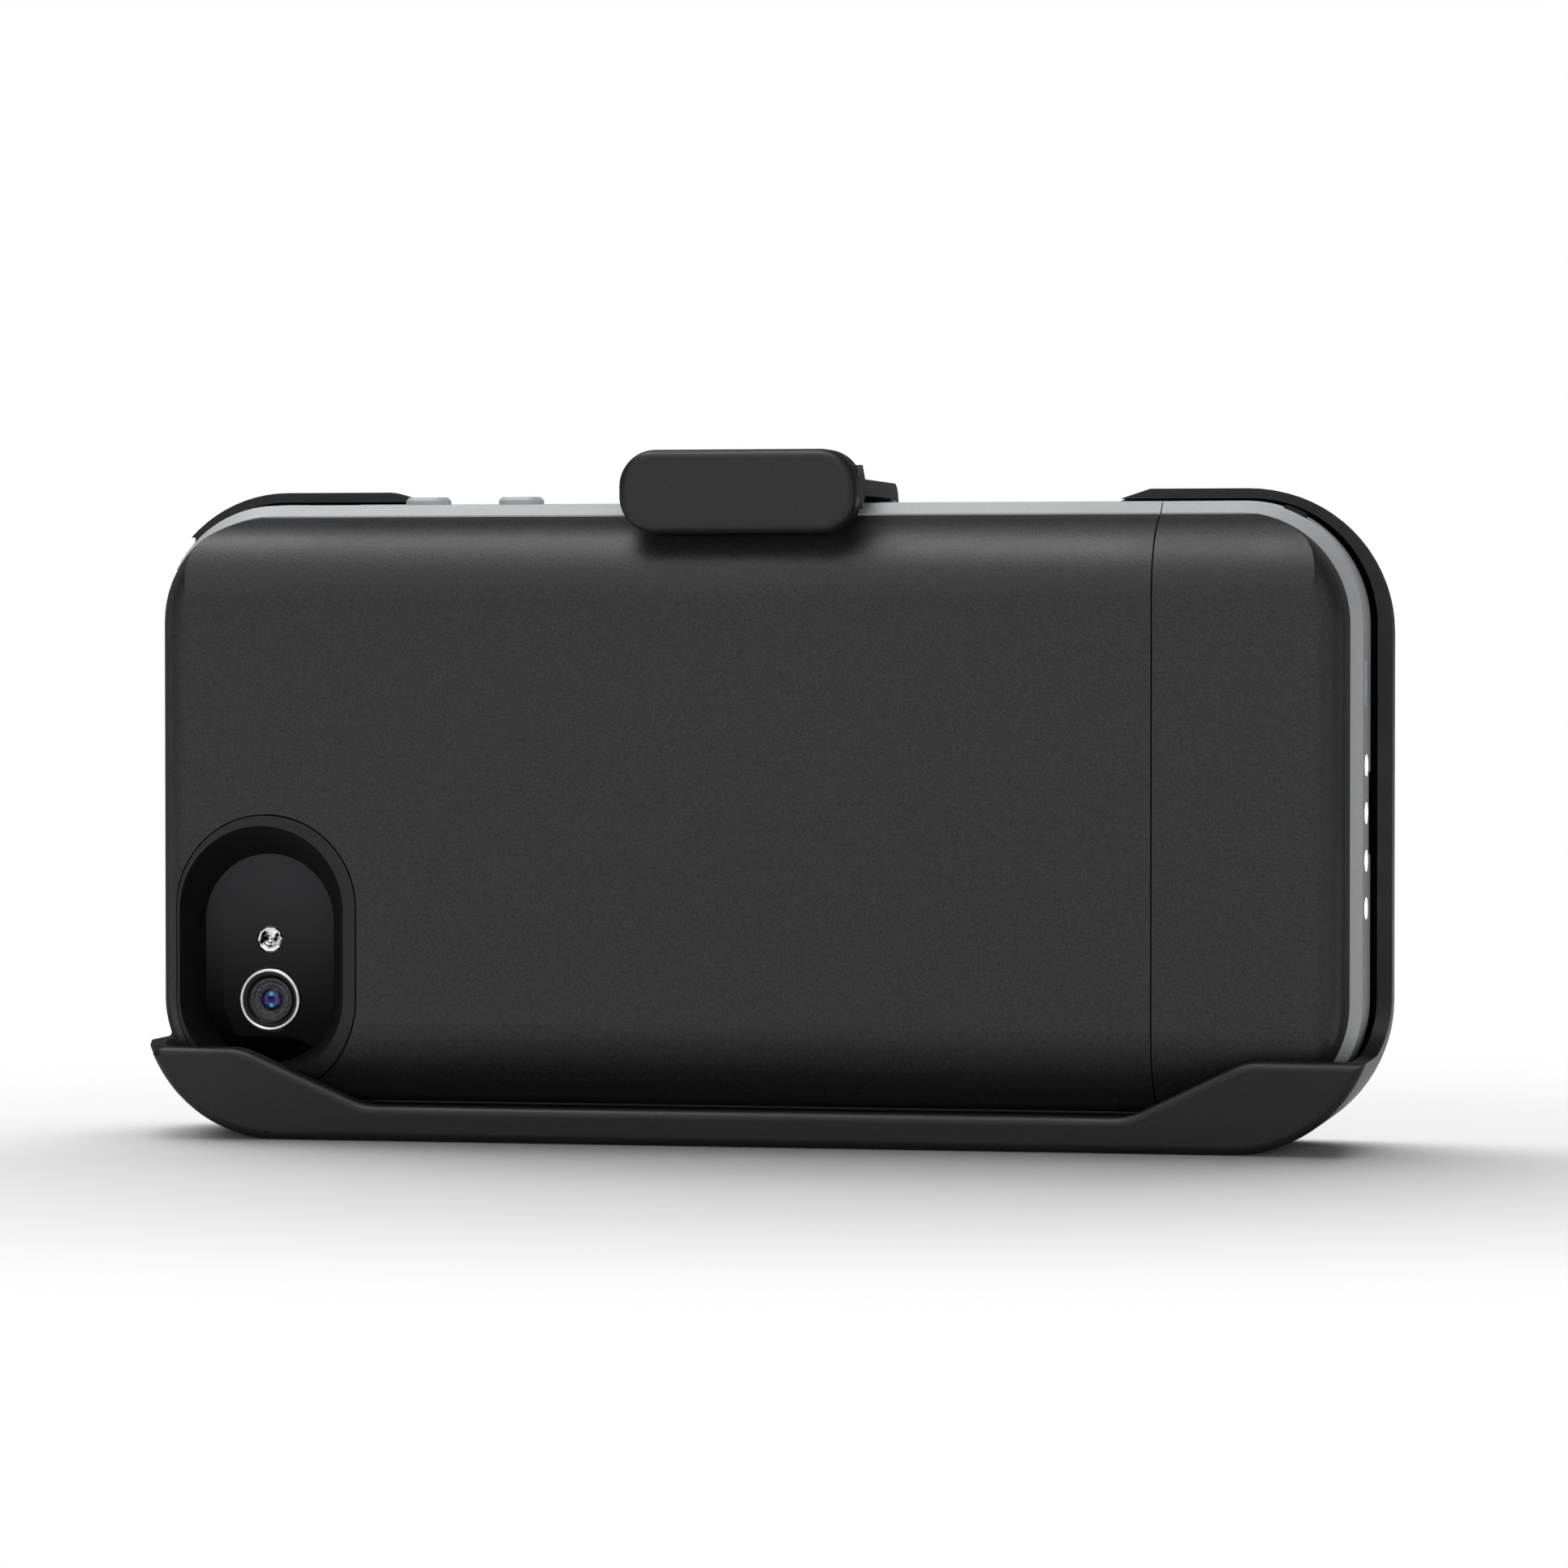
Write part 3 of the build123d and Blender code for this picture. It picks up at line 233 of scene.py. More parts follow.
def math_node(tree, operation, a, b=None):
    """Math node; a and b are numbers or sockets. Returns its output."""
    node = put(tree, "ShaderNodeMath", operation=operation)
    for i, v in enumerate((a, b)):
        if v is None:
            continue
        if isinstance(v, (int, float)):
            node.inputs[i].default_value = v
        else:
            tree.links.new(v, node.inputs[i])
    return node.outputs[0]


def remap(tree, value, low, high, to_low, to_high):
    """Map Range from low..high to to_low..to_high, smooth at both ends."""
    node = put(tree, "ShaderNodeMapRange", interpolation_type="SMOOTHSTEP")
    for name, v in (("From Min", low), ("From Max", high), ("To Min", to_low), ("To Max", to_high)):
        node.inputs[name].default_value = v
    tree.links.new(value, node.inputs["Value"])
    return node.outputs["Result"]


def new_group(name, inputs, outputs):
    """Empty shader node group with named float inputs and outputs."""
    group = bpy.data.node_groups.new(name, "ShaderNodeTree")
    for label, default in inputs:
        socket = group.interface.new_socket(label, in_out="INPUT", socket_type="NodeSocketFloat")
        socket.default_value = default
    for label in outputs:
        group.interface.new_socket(label, in_out="OUTPUT", socket_type="NodeSocketFloat")
    return group, group.nodes.new("NodeGroupInput"), group.nodes.new("NodeGroupOutput")


def grain_group():
    """Fine speckle and pits of a textured moulding, with slow cloudy change in shine."""
    if "Moulded grain" in bpy.data.node_groups:
        return bpy.data.node_groups["Moulded grain"]
    tree, given, out = new_group(
        "Moulded grain", [("Grain Size", 0.0003), ("Cloud Size", 0.02)], ["Height", "Speckle", "Cloud"]
    )
    place = put(tree, "ShaderNodeTexCoord")
    fine = put(tree, "ShaderNodeTexNoise", Detail=2.0, Roughness=0.6)
    tree.links.new(place.outputs["Object"], fine.inputs["Vector"])
    tree.links.new(math_node(tree, "DIVIDE", 1.0, given.outputs["Grain Size"]), fine.inputs["Scale"])
    pits = put(tree, "ShaderNodeTexVoronoi", feature="SMOOTH_F1", Smoothness=0.6)
    tree.links.new(place.outputs["Object"], pits.inputs["Vector"])
    tree.links.new(math_node(tree, "DIVIDE", 0.7, given.outputs["Grain Size"]), pits.inputs["Scale"])
    cloud = put(tree, "ShaderNodeTexNoise", Detail=3.0, Roughness=0.55)
    tree.links.new(place.outputs["Object"], cloud.inputs["Vector"])
    tree.links.new(math_node(tree, "DIVIDE", 1.0, given.outputs["Cloud Size"]), cloud.inputs["Scale"])
    shallow_pits = math_node(tree, "MULTIPLY", pits.outputs["Distance"], 0.6)
    tree.links.new(math_node(tree, "ADD", fine.outputs[0], shallow_pits), out.inputs["Height"])
    tree.links.new(remap(tree, fine.outputs[0], 0.35, 0.68, 0.0, 1.0), out.inputs["Speckle"])
    tree.links.new(remap(tree, cloud.outputs[0], 0.3, 0.7, 0.0, 1.0), out.inputs["Cloud"])
    return tree


def edge_group():
    """Mask of rubbed edges: where the surface turns within a small radius, broken up by noise."""
    if "Edge rub" in bpy.data.node_groups:
        return bpy.data.node_groups["Edge rub"]
    tree, given, out = new_group("Edge rub", [("Radius", 0.0004), ("Patch Size", 0.003)], ["Mask"])
    soft = put(tree, "ShaderNodeBevel", samples=6)
    tree.links.new(given.outputs["Radius"], soft.inputs["Radius"])
    surface = put(tree, "ShaderNodeNewGeometry")
    facing = put(tree, "ShaderNodeVectorMath", operation="DOT_PRODUCT")
    tree.links.new(soft.outputs["Normal"], facing.inputs[0])
    tree.links.new(surface.outputs["Normal"], facing.inputs[1])
    turn = remap(tree, facing.outputs["Value"], 0.80, 0.995, 1.0, 0.0)
    place = put(tree, "ShaderNodeTexCoord")
    patch = put(tree, "ShaderNodeTexNoise", Detail=3.0)
    tree.links.new(place.outputs["Object"], patch.inputs["Vector"])
    tree.links.new(math_node(tree, "DIVIDE", 1.0, given.outputs["Patch Size"]), patch.inputs["Scale"])
    broken = remap(tree, patch.outputs[0], 0.35, 0.65, 0.25, 1.0)
    tree.links.new(math_node(tree, "MULTIPLY", turn, broken), out.inputs["Mask"])
    return tree


def new_material(name):
    """Material with an empty tree; returns it with its tree and its Principled BSDF."""
    mat = bpy.data.materials.new(name)
    mat.use_nodes = True
    tree = mat.node_tree
    tree.nodes.clear()
    bsdf = tree.nodes.new("ShaderNodeBsdfPrincipled")
    out = tree.nodes.new("ShaderNodeOutputMaterial")
    tree.links.new(bsdf.outputs["BSDF"], out.inputs["Surface"])
    return mat, tree, bsdf


def mix_colour(tree, factor, a, b):
    """Colour between a and b; returns the output socket. a may be a socket."""
    node = put(tree, "ShaderNodeMix", data_type="RGBA")
    tree.links.new(factor, node.inputs["Factor"])
    for socket, value in ((node.inputs["A"], a), (node.inputs["B"], b)):
        if hasattr(value, "is_linked"):
            tree.links.new(value, socket)
        else:
            socket.default_value = (*value, 1.0)
    return node.outputs["Result"]


def coordinate(tree, kind, axis):
    """Socket with one axis of a texture coordinate, such as the Z of Object."""
    place = put(tree, "ShaderNodeTexCoord")
    axes = put(tree, "ShaderNodeSeparateXYZ")
    tree.links.new(place.outputs[kind], axes.inputs["Vector"])
    return axes.outputs[axis]


def tint(mat, mask, colour):
    """Lay a colour over a material's base colour where the mask is 1."""
    tree = mat.node_tree
    base = tree.nodes["Principled BSDF"].inputs["Base Color"]
    tree.links.new(mix_colour(tree, mask, base.links[0].from_socket, colour), base)


def scaled(colour, factor):
    """Lighter or darker colour, capped at white."""
    return tuple(min(1.0, c * factor) for c in colour)


def moulding(name, colour, grain, relief, rough, shine=0.5, rub=1.35, speckle=0.12):
    """Textured plastic: speckled colour, mould grain, cloudy shine and rubbed edges."""
    mat, tree, bsdf = new_material(name)
    texture = put(tree, "ShaderNodeGroup", node_tree=grain_group())
    texture.inputs["Grain Size"].default_value = grain
    edge = put(tree, "ShaderNodeGroup", node_tree=edge_group())
    dark, light = scaled(colour, 1 - speckle), scaled(colour, 1 + speckle)
    base = mix_colour(tree, texture.outputs["Speckle"], dark, light)
    worn = mix_colour(tree, edge.outputs["Mask"], base, scaled(colour, rub))
    tree.links.new(worn, bsdf.inputs["Base Color"])
    shade = remap(tree, texture.outputs["Cloud"], 0.0, 1.0, rough - CLOUD_SHINE, rough + CLOUD_SHINE)
    tree.links.new(shade, bsdf.inputs["Roughness"])
    bump = put(tree, "ShaderNodeBump", Distance=relief, Strength=1.0)
    tree.links.new(texture.outputs["Height"], bump.inputs["Height"])
    tree.links.new(bump.outputs["Normal"], bsdf.inputs["Normal"])
    bsdf.inputs["Specular IOR Level"].default_value = shine
    return mat


def drawn_metal(name, colour, rough, along, streak=0.00008):
    """Bare metal with fine streaks along one axis ("X", "Y" or "Z")."""
    mat, tree, bsdf = new_material(name)
    across = 1 / streak
    lengthwise = across * 0.04
    scale = [lengthwise if axis == along else across for axis in "XYZ"]
    place = put(tree, "ShaderNodeTexCoord")
    stretch = put(tree, "ShaderNodeMapping", Scale=scale)
    tree.links.new(place.outputs["Object"], stretch.inputs["Vector"])
    lines = put(tree, "ShaderNodeTexNoise", Scale=1.0, Detail=2.0)
    tree.links.new(stretch.outputs["Vector"], lines.inputs["Vector"])
    tone = mix_colour(tree, lines.outputs[0], scaled(colour, 0.86), scaled(colour, 1.1))
    tree.links.new(tone, bsdf.inputs["Base Color"])
    shade = remap(tree, lines.outputs[0], 0.3, 0.7, rough - 0.06, rough + 0.08)
    tree.links.new(shade, bsdf.inputs["Roughness"])
    bump = put(tree, "ShaderNodeBump", Distance=streak * 0.06, Strength=0.6)
    tree.links.new(lines.outputs[0], bump.inputs["Height"])
    tree.links.new(bump.outputs["Normal"], bsdf.inputs["Normal"])
    bsdf.inputs["Metallic"].default_value = 1.0
    return mat


def dress(mat, *nodes):
    """Give CAD nodes a material."""
    for name in nodes:
        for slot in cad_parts[name].material_slots:
            slot.material = mat


def add_object(name, data):
    """New object in the scene."""
    obj = bpy.data.objects.new(name, data)
    bpy.context.scene.collection.objects.link(obj)
    return obj


def disc(box):
    """Centre (x, z), radius and front of a round piece, from its box; its axis lies along Y."""
    low, high = box
    return ((low[0] + high[0]) / 2, (low[2] + high[2]) / 2), (high[0] - low[0]) / 2, low[1]


def lathe(name, profile, centre, segments, smooth=True):
    """Round mesh about an axis along Y; profile holds (radius, y) pairs from the rim to the middle."""

    def point(radius, y, angle):
        return centre[0] + radius * math.cos(angle), y, centre[1] + radius * math.sin(angle)

    bm = bmesh.new()
    turn = [2 * math.pi * i / segments for i in range(segments)]
    rings = []
    for radius, y in profile:
        angles = turn if radius > 0 else turn[:1]
        rings.append([bm.verts.new(point(radius, y, a)) for a in angles])
    for outer, inner in zip(rings, rings[1:]):
        for i in range(segments):
            j = (i + 1) % segments
            if len(inner) == 1:
                bm.faces.new((outer[i], outer[j], inner[0]))
            else:
                bm.faces.new((outer[i], outer[j], inner[j], inner[i]))
    bmesh.ops.recalc_face_normals(bm, faces=bm.faces)
    for face in bm.faces:
        face.smooth = smooth
    mesh = bpy.data.meshes.new(name)
    bm.to_mesh(mesh)
    bm.free()
    return add_object(name, mesh)


class CASE_OT_back_shells(bpy.types.Operator):
    """Soft-touch coat on the two back mouldings, which looks matt at a slant"""

    bl_idname = "case.back_shells"
    bl_label = "Back shells"

    def execute(self, context):
        finish = context.scene.case_finish
        colour, grain = finish.soft_touch, finish.coat_grain
        coat = moulding("soft_touch_coat", colour, grain, relief=0.000016, rough=0.42, rub=1.25, speckle=0.42)
        tree = coat.node_tree
        shade = tree.nodes["Principled BSDF"].inputs["Roughness"]
        slant = put(tree, "ShaderNodeLayerWeight", Blend=0.5)
        matt = remap(tree, slant.outputs["Facing"], 0.30, 0.64, 0.0, 0.57)
        tree.links.new(math_node(tree, "ADD", shade.links[0].from_socket, matt), shade)
        dress(coat, "main_back_shell", "end_cap_shell")
        return {"FINISHED"}


class CASE_OT_band(bpy.types.Operator):
    """Light grey band, keys and dark top end insert"""

    bl_idname = "case.band"
    bl_label = "Bumper band and keys"

    def execute(self, context):
        finish = context.scene.case_finish
        grain = finish.mould_grain
        band = moulding("band_grey", finish.band, grain, relief=0.000006, rough=0.42, rub=1.08, speckle=0.03)
        self.paint_underside_shade(band, finish.band)
        dress(band, "main_tray", "end_cap_tray")
        keys = moulding("key_grey", finish.key, grain, relief=0.000004, rough=0.38, rub=1.1, speckle=0.03)
        dress(keys, "volume_up_button", "volume_down_button", "status_button")
        dark = moulding("insert_black", finish.bezel, grain, relief=0.00001, rough=0.5, shine=0.35, rub=1.5)
        dress(dark, "top_end_insert", "standby_slider")
        return {"FINISHED"}

    def paint_underside_shade(self, mat, colour):
        """Painted shade on the band's underside, which lies in the holster's trough."""
        shell_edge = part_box("main_back_shell")[0][2]
        height = coordinate(mat.node_tree, "Object", "Z")
        underside_shade = remap(mat.node_tree, height, shell_edge, shell_edge + UNDERSIDE_SHADE_FADE, 1.0, 0.0)
        # Painted shade: below the back shell's lower edge the band is nearly black.
        tint(mat, underside_shade, scaled(colour, 0.03))


class CASE_OT_holster(bpy.types.Operator):
    """Holster shell and latch"""

    bl_idname = "case.holster"
    bl_label = "Holster and latch"

    def execute(self, context):
        finish = context.scene.case_finish
        grain, relief = finish.mould_grain, 0.000012
        shell = moulding("holster_black", finish.holster, grain, relief, rough=0.44, shine=0.38, rub=1.6)
        dress(shell, "holster_shell")
        # Painted light: the latch takes the holster's colour 1.35 times lighter, for the light that its face
        # catches.
        painted_lit_holster = scaled(finish.holster, 1.35)
        tab = moulding("latch_black", painted_lit_holster, grain, relief, rough=0.42, shine=0.45, rub=1.6)
        dress(tab, "release_latch")
        return {"FINISHED"}


class CASE_OT_belt_clip(bpy.types.Operator):
    """Belt clip with its rivet, and the pins and springs of clip and latch"""

    bl_idname = "case.belt_clip"
    bl_label = "Belt clip"

    def execute(self, context):
        finish = context.scene.case_finish
        grain = finish.mould_grain
        plastic = moulding("clip_black", finish.clip, grain, relief=0.000014, rough=0.46, shine=0.45, rub=1.7)
        dress(plastic, "clip_base", "belt_clip")
        dress(drawn_metal("pin_steel", (0.56, 0.57, 0.58), 0.3, "X"), "latch_pin", "clip_pin")
        dress(drawn_metal("rivet_steel", (0.52, 0.53, 0.54), 0.34, "Z"), "swivel_rivet")
        wire = drawn_metal("spring_wire", (0.44, 0.45, 0.47), 0.3, "Z")
        self.spring("clip_spring", wire, "clip_swivel_plate", "clip_arm")
        self.spring("latch_spring", wire, "latch", "holstered_case")
        return {"FINISHED"}

    def spring(self, node, wire, first_body, last_body):
        """Torsion spring: a copy of the CAD spring in the wire's finish, in place of the CAD spring.
        first_body and last_body are not used.
        """
        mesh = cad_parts[node].data.copy()
        mesh.materials.clear()
        mesh.materials.append(wire)
        spring = add_object(node + "_winding", mesh)
        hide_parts(node)
        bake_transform(spring)


class CASE_OT_camera(bpy.types.Operator):
    """Window funnel, phone glass, lens, ring and flash"""

    bl_idname = "case.camera"
    bl_label = "Camera window"

    def execute(self, context):
        finish = context.scene.case_finish
        detail = context.scene.camera_detail
        self.funnel(finish)
        self.glass()
        self.ring(detail)
        self.lens(detail)
        self.flash(detail)
        return {"FINISHED"}

    def funnel(self, finish):
        """Window insert: its rim in the back's own tone, its funnel dark."""
        colour, grain = finish.bezel, finish.mould_grain
        mat = moulding("window_insert", colour, grain, relief=0.000012, rough=0.55, shine=0.3, speckle=0.4)
        facing = coordinate(mat.node_tree, "Normal", "Y")
        rim = remap(mat.node_tree, facing, -0.85, -0.65, 1.0, 0.0)
        tint(mat, rim, scaled(finish.soft_touch, 1.25))
        dress(mat, "window_bezel")

    def glass(self):
        """Black glass with a painted reflection that grows lighter upwards, and the phone's metal frame."""
        mat, tree, bsdf = new_material("phone_black_glass")
        texture = put(tree, "ShaderNodeGroup", node_tree=grain_group())
        texture.inputs["Grain Size"].default_value = 0.004
        texture.inputs["Cloud Size"].default_value = 0.012
        dark, less_dark = (0.0022, 0.0022, 0.0025), (0.0034, 0.0034, 0.0038)
        tone = mix_colour(tree, texture.outputs["Cloud"], dark, less_dark)
        low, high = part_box("window_bezel")
        height = coordinate(tree, "Object", "Z")
        # Painted reflection: the glass turns lighter towards the top of the window.
        painted_reflection = remap(tree, height, low[2] + REFLECTION_FOOT, high[2] - REFLECTION_HEAD, 0.0, 1.0)
        tree.links.new(mix_colour(tree, painted_reflection, tone, (0.062, 0.063, 0.066)), bsdf.inputs["Base Color"])
        shade = remap(tree, texture.outputs["Speckle"], 0, 1, 0.04, 0.10)
        tree.links.new(shade, bsdf.inputs["Roughness"])
        bsdf.inputs["Specular IOR Level"].default_value = 0.05
        dress(mat, "phone_back_glass", "phone_front_glass")
        dress(drawn_metal("phone_frame_metal", (0.42, 0.43, 0.45), 0.32, "X"), "phone_body")

    def ring(self, detail):
        """Bright ring with a rounded front, in place of the ring with plain chamfers."""
        low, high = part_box("camera_ring")
        centre, outer_radius, front = disc((low, high))
        back = high[1]
        bore = disc(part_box("camera_lens"))[1]
        wall = outer_radius - bore
        profile = [(outer_radius, back)]
        profile += [(outer_radius - wall * (1 - s), front + wall * d) for s, d in RING_ROUND]
        profile.append((outer_radius - wall, back))
        ring = lathe("lens_ring_round", profile, centre, detail.segments)
        chrome = drawn_metal("lens_ring_chrome", (0.97, 0.97, 0.97), 0.25, "Y", streak=0.00004)
        ring.data.materials.append(chrome)
        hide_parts("camera_ring")
        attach(ring, "holstered_case")

    def lens(self, detail):
        """Stepped barrel with a coated front element, in place of the plain lens disc."""
        centre, radius, front = disc(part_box("camera_lens"))
        profile = [(radius * r, front + MM * d) for r, d in BARREL_STEPS + LENS_DOME]
        lens = lathe("lens_stack", profile, centre, detail.segments)
        lens.data.materials.append(self.lens_glass(detail, centre, radius))
        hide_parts("camera_lens")
        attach(lens, "holstered_case")

    def lens_glass(self, detail, centre, radius):
        """Coating and baffles in rings about the lens's middle, with flecks and two glints."""
        mat, tree, bsdf = new_material("lens_stack_glass")
        place = put(tree, "ShaderNodeTexCoord")
        shift = put(tree, "ShaderNodeMapping", Location=(-centre[0], 0.0, -centre[1]))
        flat = put(tree, "ShaderNodeVectorMath", operation="MULTIPLY")
        flat.inputs[1].default_value = (1.0, 0.0, 1.0)
        tree.links.new(place.outputs["Object"], shift.inputs["Vector"])
        tree.links.new(shift.outputs["Vector"], flat.inputs[0])
        length = put(tree, "ShaderNodeVectorMath", operation="LENGTH")
        tree.links.new(flat.outputs["Vector"], length.inputs[0])
        share = math_node(tree, "DIVIDE", length.outputs["Value"], radius)
        ramp = put(tree, "ShaderNodeValToRGB")
        stops = [
            (0.0, (0.004, 0.004, 0.006)),
            (0.10, (0.006, 0.006, 0.012)),
            (0.16, detail.lens_tint),
            (0.26, detail.lens_tint),
            (0.34, (0.006, 0.006, 0.008)),
            (0.46, detail.barrel),
            (0.56, scaled(detail.barrel, 2.4)),
            (0.64, detail.barrel),
            (0.72, scaled(detail.barrel, 2.0)),
            (0.80, (0.008, 0.008, 0.008)),
            (1.0, (0.003, 0.003, 0.003)),
        ]
        while len(ramp.color_ramp.elements) < len(stops):
            ramp.color_ramp.elements.new(0.5)
        for element, (at, colour) in zip(ramp.color_ramp.elements, stops):
            element.position = at
            element.color = (*colour, 1.0)
        tree.links.new(share, ramp.inputs["Fac"])
        dust = put(tree, "ShaderNodeTexVoronoi", Scale=5200.0)
        tree.links.new(place.outputs["Object"], dust.inputs["Vector"])
        fleck = remap(tree, dust.outputs["Distance"], 0.25, 0.75, 0.0, 0.65)
        tone = mix_colour(tree, fleck, ramp.outputs["Color"], (0.006, 0.006, 0.010))
        for height in GLINT_HEIGHTS:
            reach = put(tree, "ShaderNodeVectorMath", operation="DISTANCE")
            reach.inputs[1].default_value = (0.0, 0.0, height * radius)
            tree.links.new(flat.outputs["Vector"], reach.inputs[0])
            spot = remap(tree, reach.outputs["Value"], GLINT_CORE * radius, GLINT_EDGE * radius, 1.0, 0.0)
            tone = mix_colour(tree, spot, tone, detail.glint)
        tree.links.new(tone, bsdf.inputs["Base Color"])
        tree.links.new(remap(tree, share, 0.38, 0.46, 0.05, 0.32), bsdf.inputs["Roughness"])
        bsdf.inputs["Specular IOR Level"].default_value = 0.3
        return mat

    def flash(self, detail):
        """Faceted clear flash cover over a bright reflector, in place of the plain disc."""
        centre, radius, front = disc(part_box("camera_flash"))
        profile = [(radius * r, front + MM * d) for r, d in FLASH_STEPS]
        flash = lathe("flash_facets", profile, centre, detail.flash_facets, smooth=False)
        mat, tree, bsdf = new_material("flash_cover")
        place = put(tree, "ShaderNodeTexCoord")
        cells = put(tree, "ShaderNodeTexNoise", Scale=1500.0, Detail=1.0, Roughness=0.4)
        tree.links.new(place.outputs["Object"], cells.inputs["Vector"])
        blotch = remap(tree, cells.outputs[0], 0.54, 0.60, 0.0, 1.0)
        tone = mix_colour(tree, blotch, (0.95, 0.95, 0.94), (0.02, 0.02, 0.02))
        tree.links.new(tone, bsdf.inputs["Base Color"])
        tree.links.new(remap(tree, cells.outputs[0], 0.3, 0.7, 0.1, 0.3), bsdf.inputs["Roughness"])
        bsdf.inputs["Metallic"].default_value = 0.85
        flash.data.materials.append(mat)
        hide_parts("camera_flash")
        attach(flash, "holstered_case")


class CASE_OT_charge_lights(bpy.types.Operator):
    """Lamps and the light guide whose ends glow"""

    bl_idname = "case.charge_lights"
    bl_label = "Charge lights"

    def execute(self, context):
        lights = context.scene.charge_lights
        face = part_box("light_guide")[1][0]
        mat, tree, bsdf = new_material("light_guide_glow")
        lit = remap(tree, coordinate(tree, "Object", "X"), face - LIT_DEPTH, face - LIT_FACE, 0.25, 1.0)
        haze = put(tree, "ShaderNodeTexNoise", Scale=2200.0, Detail=2.0)
        place = put(tree, "ShaderNodeTexCoord")
        tree.links.new(place.outputs["Object"], haze.inputs["Vector"])
        tone = mix_colour(tree, haze.outputs[0], (0.80, 0.82, 0.84), (0.92, 0.93, 0.94))
        tree.links.new(tone, bsdf.inputs["Base Color"])
        glow = mix_colour(tree, lit, (0.0, 0.0, 0.0), lights.glow)
        tree.links.new(glow, bsdf.inputs["Emission Color"])
        bsdf.inputs["Emission Strength"].default_value = lights.strength
        bsdf.inputs["Roughness"].default_value = 0.3
        dress(mat, "light_guide", "status_leds")
        return {"FINISHED"}


class CASE_OT_power_parts(bpy.types.Operator):
    """Cell, boards, plug, socket and switches inside the case"""

    bl_idname = "case.power_parts"
    bl_label = "Power parts"

    def execute(self, context):
        foil = drawn_metal("pouch_foil", (0.66, 0.67, 0.68), 0.38, "X", streak=0.0004)
        dress(foil, "battery_cell")
        dress(drawn_metal("plated_steel", (0.62, 0.63, 0.64), 0.28, "X"), "dock_plug", "usb_socket")
        mask = moulding("solder_mask", (0.020, 0.110, 0.045), 0.0006, relief=0.00002, rough=0.35, speckle=0.3)
        dress(mask, "end_board", "cell_board")
        film = moulding("amber_film", (0.42, 0.19, 0.03), 0.0008, relief=0.000008, rough=0.3, speckle=0.15)
        dress(film, "battery_flex")
        black = moulding("switch_black", (0.02, 0.02, 0.02), 0.0003, relief=0.000008, rough=0.4)
        dress(black, "status_switch", "standby_switch")
        return {"FINISHED"}


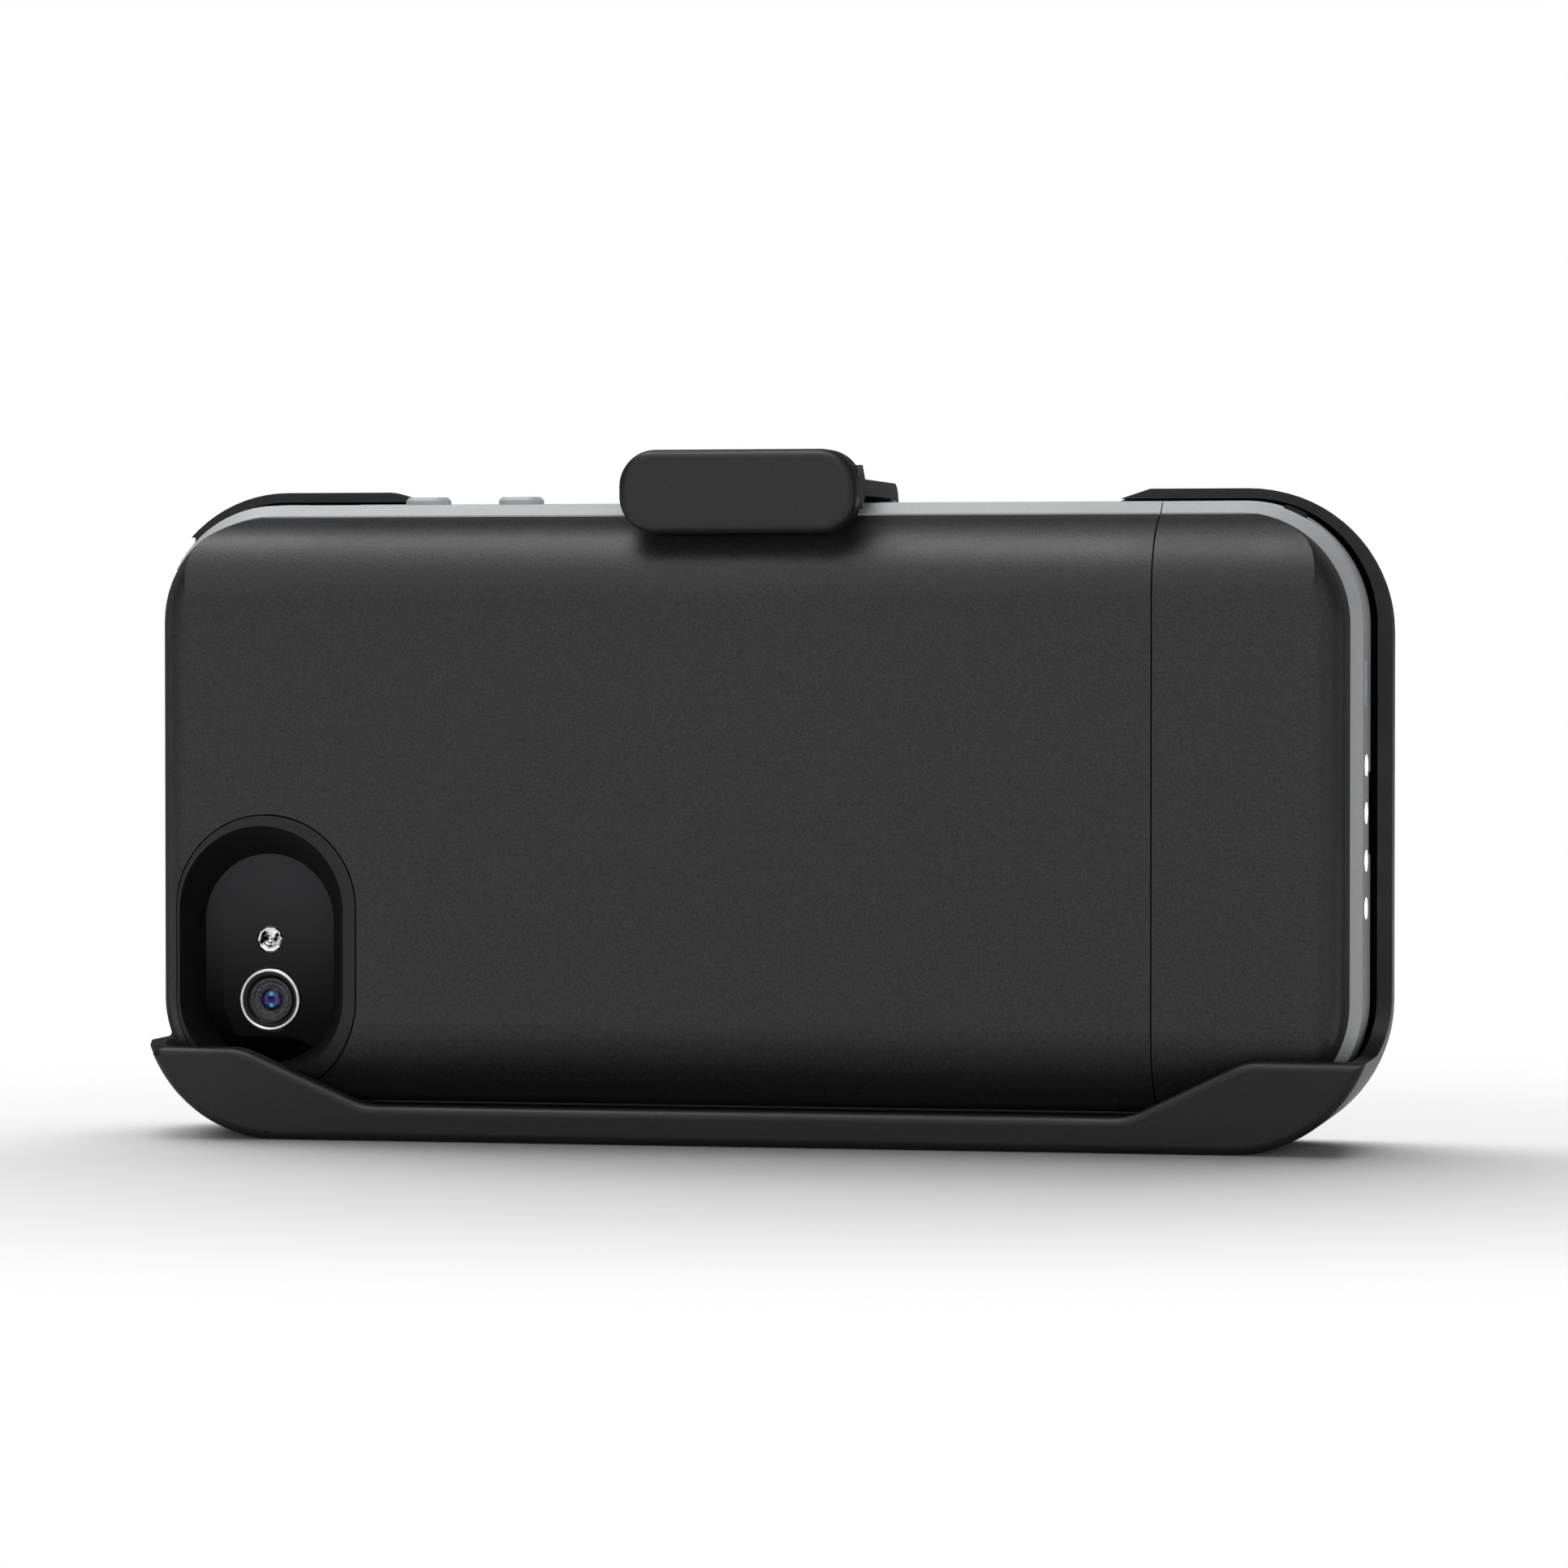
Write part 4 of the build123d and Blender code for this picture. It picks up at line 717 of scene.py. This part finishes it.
class CASE_OT_stage(bpy.types.Operator):
    """Camera, pale floor, white backdrop and lamps"""

    bl_idname = "case.stage"
    bl_label = "Studio stage"

    def execute(self, context):
        stage = context.scene.studio_stage
        self.camera(context.scene, stage)
        self.floor(stage)
        self.lamps(stage)
        self.room(context.scene, stage)
        context.scene.view_settings.view_transform = "Standard"
        return {"FINISHED"}

    def camera(self, scene, stage):
        """Camera fitted to the photograph."""
        data = bpy.data.cameras.new("photo_camera")
        data.lens = stage.camera_lens
        data.sensor_width = SENSOR_WIDTH
        data.clip_start = 0.01
        camera = add_object("photo_camera", data)
        camera.location = stage.camera_place
        camera.rotation_euler = (math.pi / 2 + stage.camera_pitch, 0.0, stage.camera_yaw)
        scene.camera = camera

    def floor(self, stage):
        """Pale floor: matt near the part, so that it keeps the shadow, and plain white further off."""
        mat, tree, bsdf = new_material("floor_white")
        path = put(tree, "ShaderNodeLightPath")
        seen = math_node(tree, "MAXIMUM", path.outputs["Is Camera Ray"], path.outputs["Is Glossy Ray"])
        tone = mix_colour(tree, seen, FLOOR_BOUNCE, FLOOR_SEEN)
        tree.links.new(tone, bsdf.inputs["Base Color"])
        bsdf.inputs["Roughness"].default_value = 0.9
        bsdf.inputs["Specular IOR Level"].default_value = 0.0
        glow = put(tree, "ShaderNodeEmission", Strength=1.0)
        place = put(tree, "ShaderNodeTexCoord")
        squash = put(tree, "ShaderNodeMapping", Scale=FLOOR_STRETCH)
        tree.links.new(place.outputs["Object"], squash.inputs["Vector"])
        reach = put(tree, "ShaderNodeVectorMath", operation="LENGTH")
        tree.links.new(squash.outputs["Vector"], reach.inputs[0])
        far = remap(tree, reach.outputs["Value"], stage.white_from, stage.white_to, 0.0, 1.0)
        mix = put(tree, "ShaderNodeMixShader")
        tree.links.new(math_node(tree, "MULTIPLY", far, path.outputs["Is Camera Ray"]), mix.inputs[0])
        tree.links.new(bsdf.outputs["BSDF"], mix.inputs[1])
        tree.links.new(glow.outputs["Emission"], mix.inputs[2])
        tree.links.new(mix.outputs["Shader"], tree.nodes["Material Output"].inputs["Surface"])
        mesh = bpy.data.meshes.new("floor")
        corners = [(x * FLOOR_HALF, y * FLOOR_HALF, 0) for x, y in ((-1, -1), (1, -1), (1, 1), (-1, 1))]
        mesh.from_pydata(corners, [], [(0, 1, 2, 3)])
        mesh.materials.append(mat)
        floor = add_object("floor", mesh)

    def lamps(self, stage):
        """Softboxes that light the part, and cards that only its sheen reflects."""
        for name, (place, size, power, card) in LAMPS.items():
            data = bpy.data.lights.new(name, "AREA")
            data.shape = "RECTANGLE"
            data.size, data.size_y = size
            data.energy = getattr(stage, power)
            lamp = add_object(name, data)
            lamp.location = place
            lamp.rotation_euler = (Vector(LAMP_AIM) - Vector(place)).to_track_quat("-Z", "Y").to_euler()
            lamp.visible_camera = False
            lamp.visible_diffuse = not card
            lamp.visible_glossy = card

    def room(self, scene, stage):
        """White to the camera, and a plain level of light from all round."""
        world = bpy.data.worlds.new("studio_room")
        world.use_nodes = True
        tree = world.node_tree
        back = tree.nodes["Background"]
        back.inputs["Color"].default_value = (1.0, 1.0, 1.0, 1.0)
        path = put(tree, "ShaderNodeLightPath")
        seen = remap(tree, path.outputs["Is Camera Ray"], 0.0, 1.0, stage.room_level, 1.0)
        tree.links.new(seen, back.inputs["Strength"])
        scene.world = world


class CASE_PT_panel(bpy.types.Panel):
    """Sizes, colours and steps of the battery case scene"""

    bl_label = "Battery case"
    bl_idname = "CASE_PT_panel"
    bl_space_type = "VIEW_3D"
    bl_region_type = "UI"
    bl_category = "Battery case"

    def draw(self, context):
        for step in STEPS:
            self.layout.operator(step.bl_idname)
        for group in GROUPS:
            settings = getattr(context.scene, group)
            for name in settings.__annotations__:
                self.layout.prop(settings, name)


STEPS = (
    CASE_OT_back_shells,
    CASE_OT_band,
    CASE_OT_holster,
    CASE_OT_belt_clip,
    CASE_OT_camera,
    CASE_OT_charge_lights,
    CASE_OT_power_parts,
    CASE_OT_stage,
)
GROUPS = {
    "case_finish": CaseFinish,
    "camera_detail": CameraDetail,
    "charge_lights": ChargeLights,
    "studio_stage": StudioStage,
}


def register():
    for cls in (*GROUPS.values(), *STEPS, CASE_PT_panel):
        bpy.utils.register_class(cls)
    for name, cls in GROUPS.items():
        setattr(bpy.types.Scene, name, PointerProperty(type=cls))


def unregister():
    for name in GROUPS:
        delattr(bpy.types.Scene, name)
    for cls in reversed((*GROUPS.values(), *STEPS, CASE_PT_panel)):
        bpy.utils.unregister_class(cls)


def main():
    register()
    for step in STEPS:
        area, name = step.bl_idname.split(".")
        getattr(getattr(bpy.ops, area), name)()


if __name__ == "__main__":
    main()
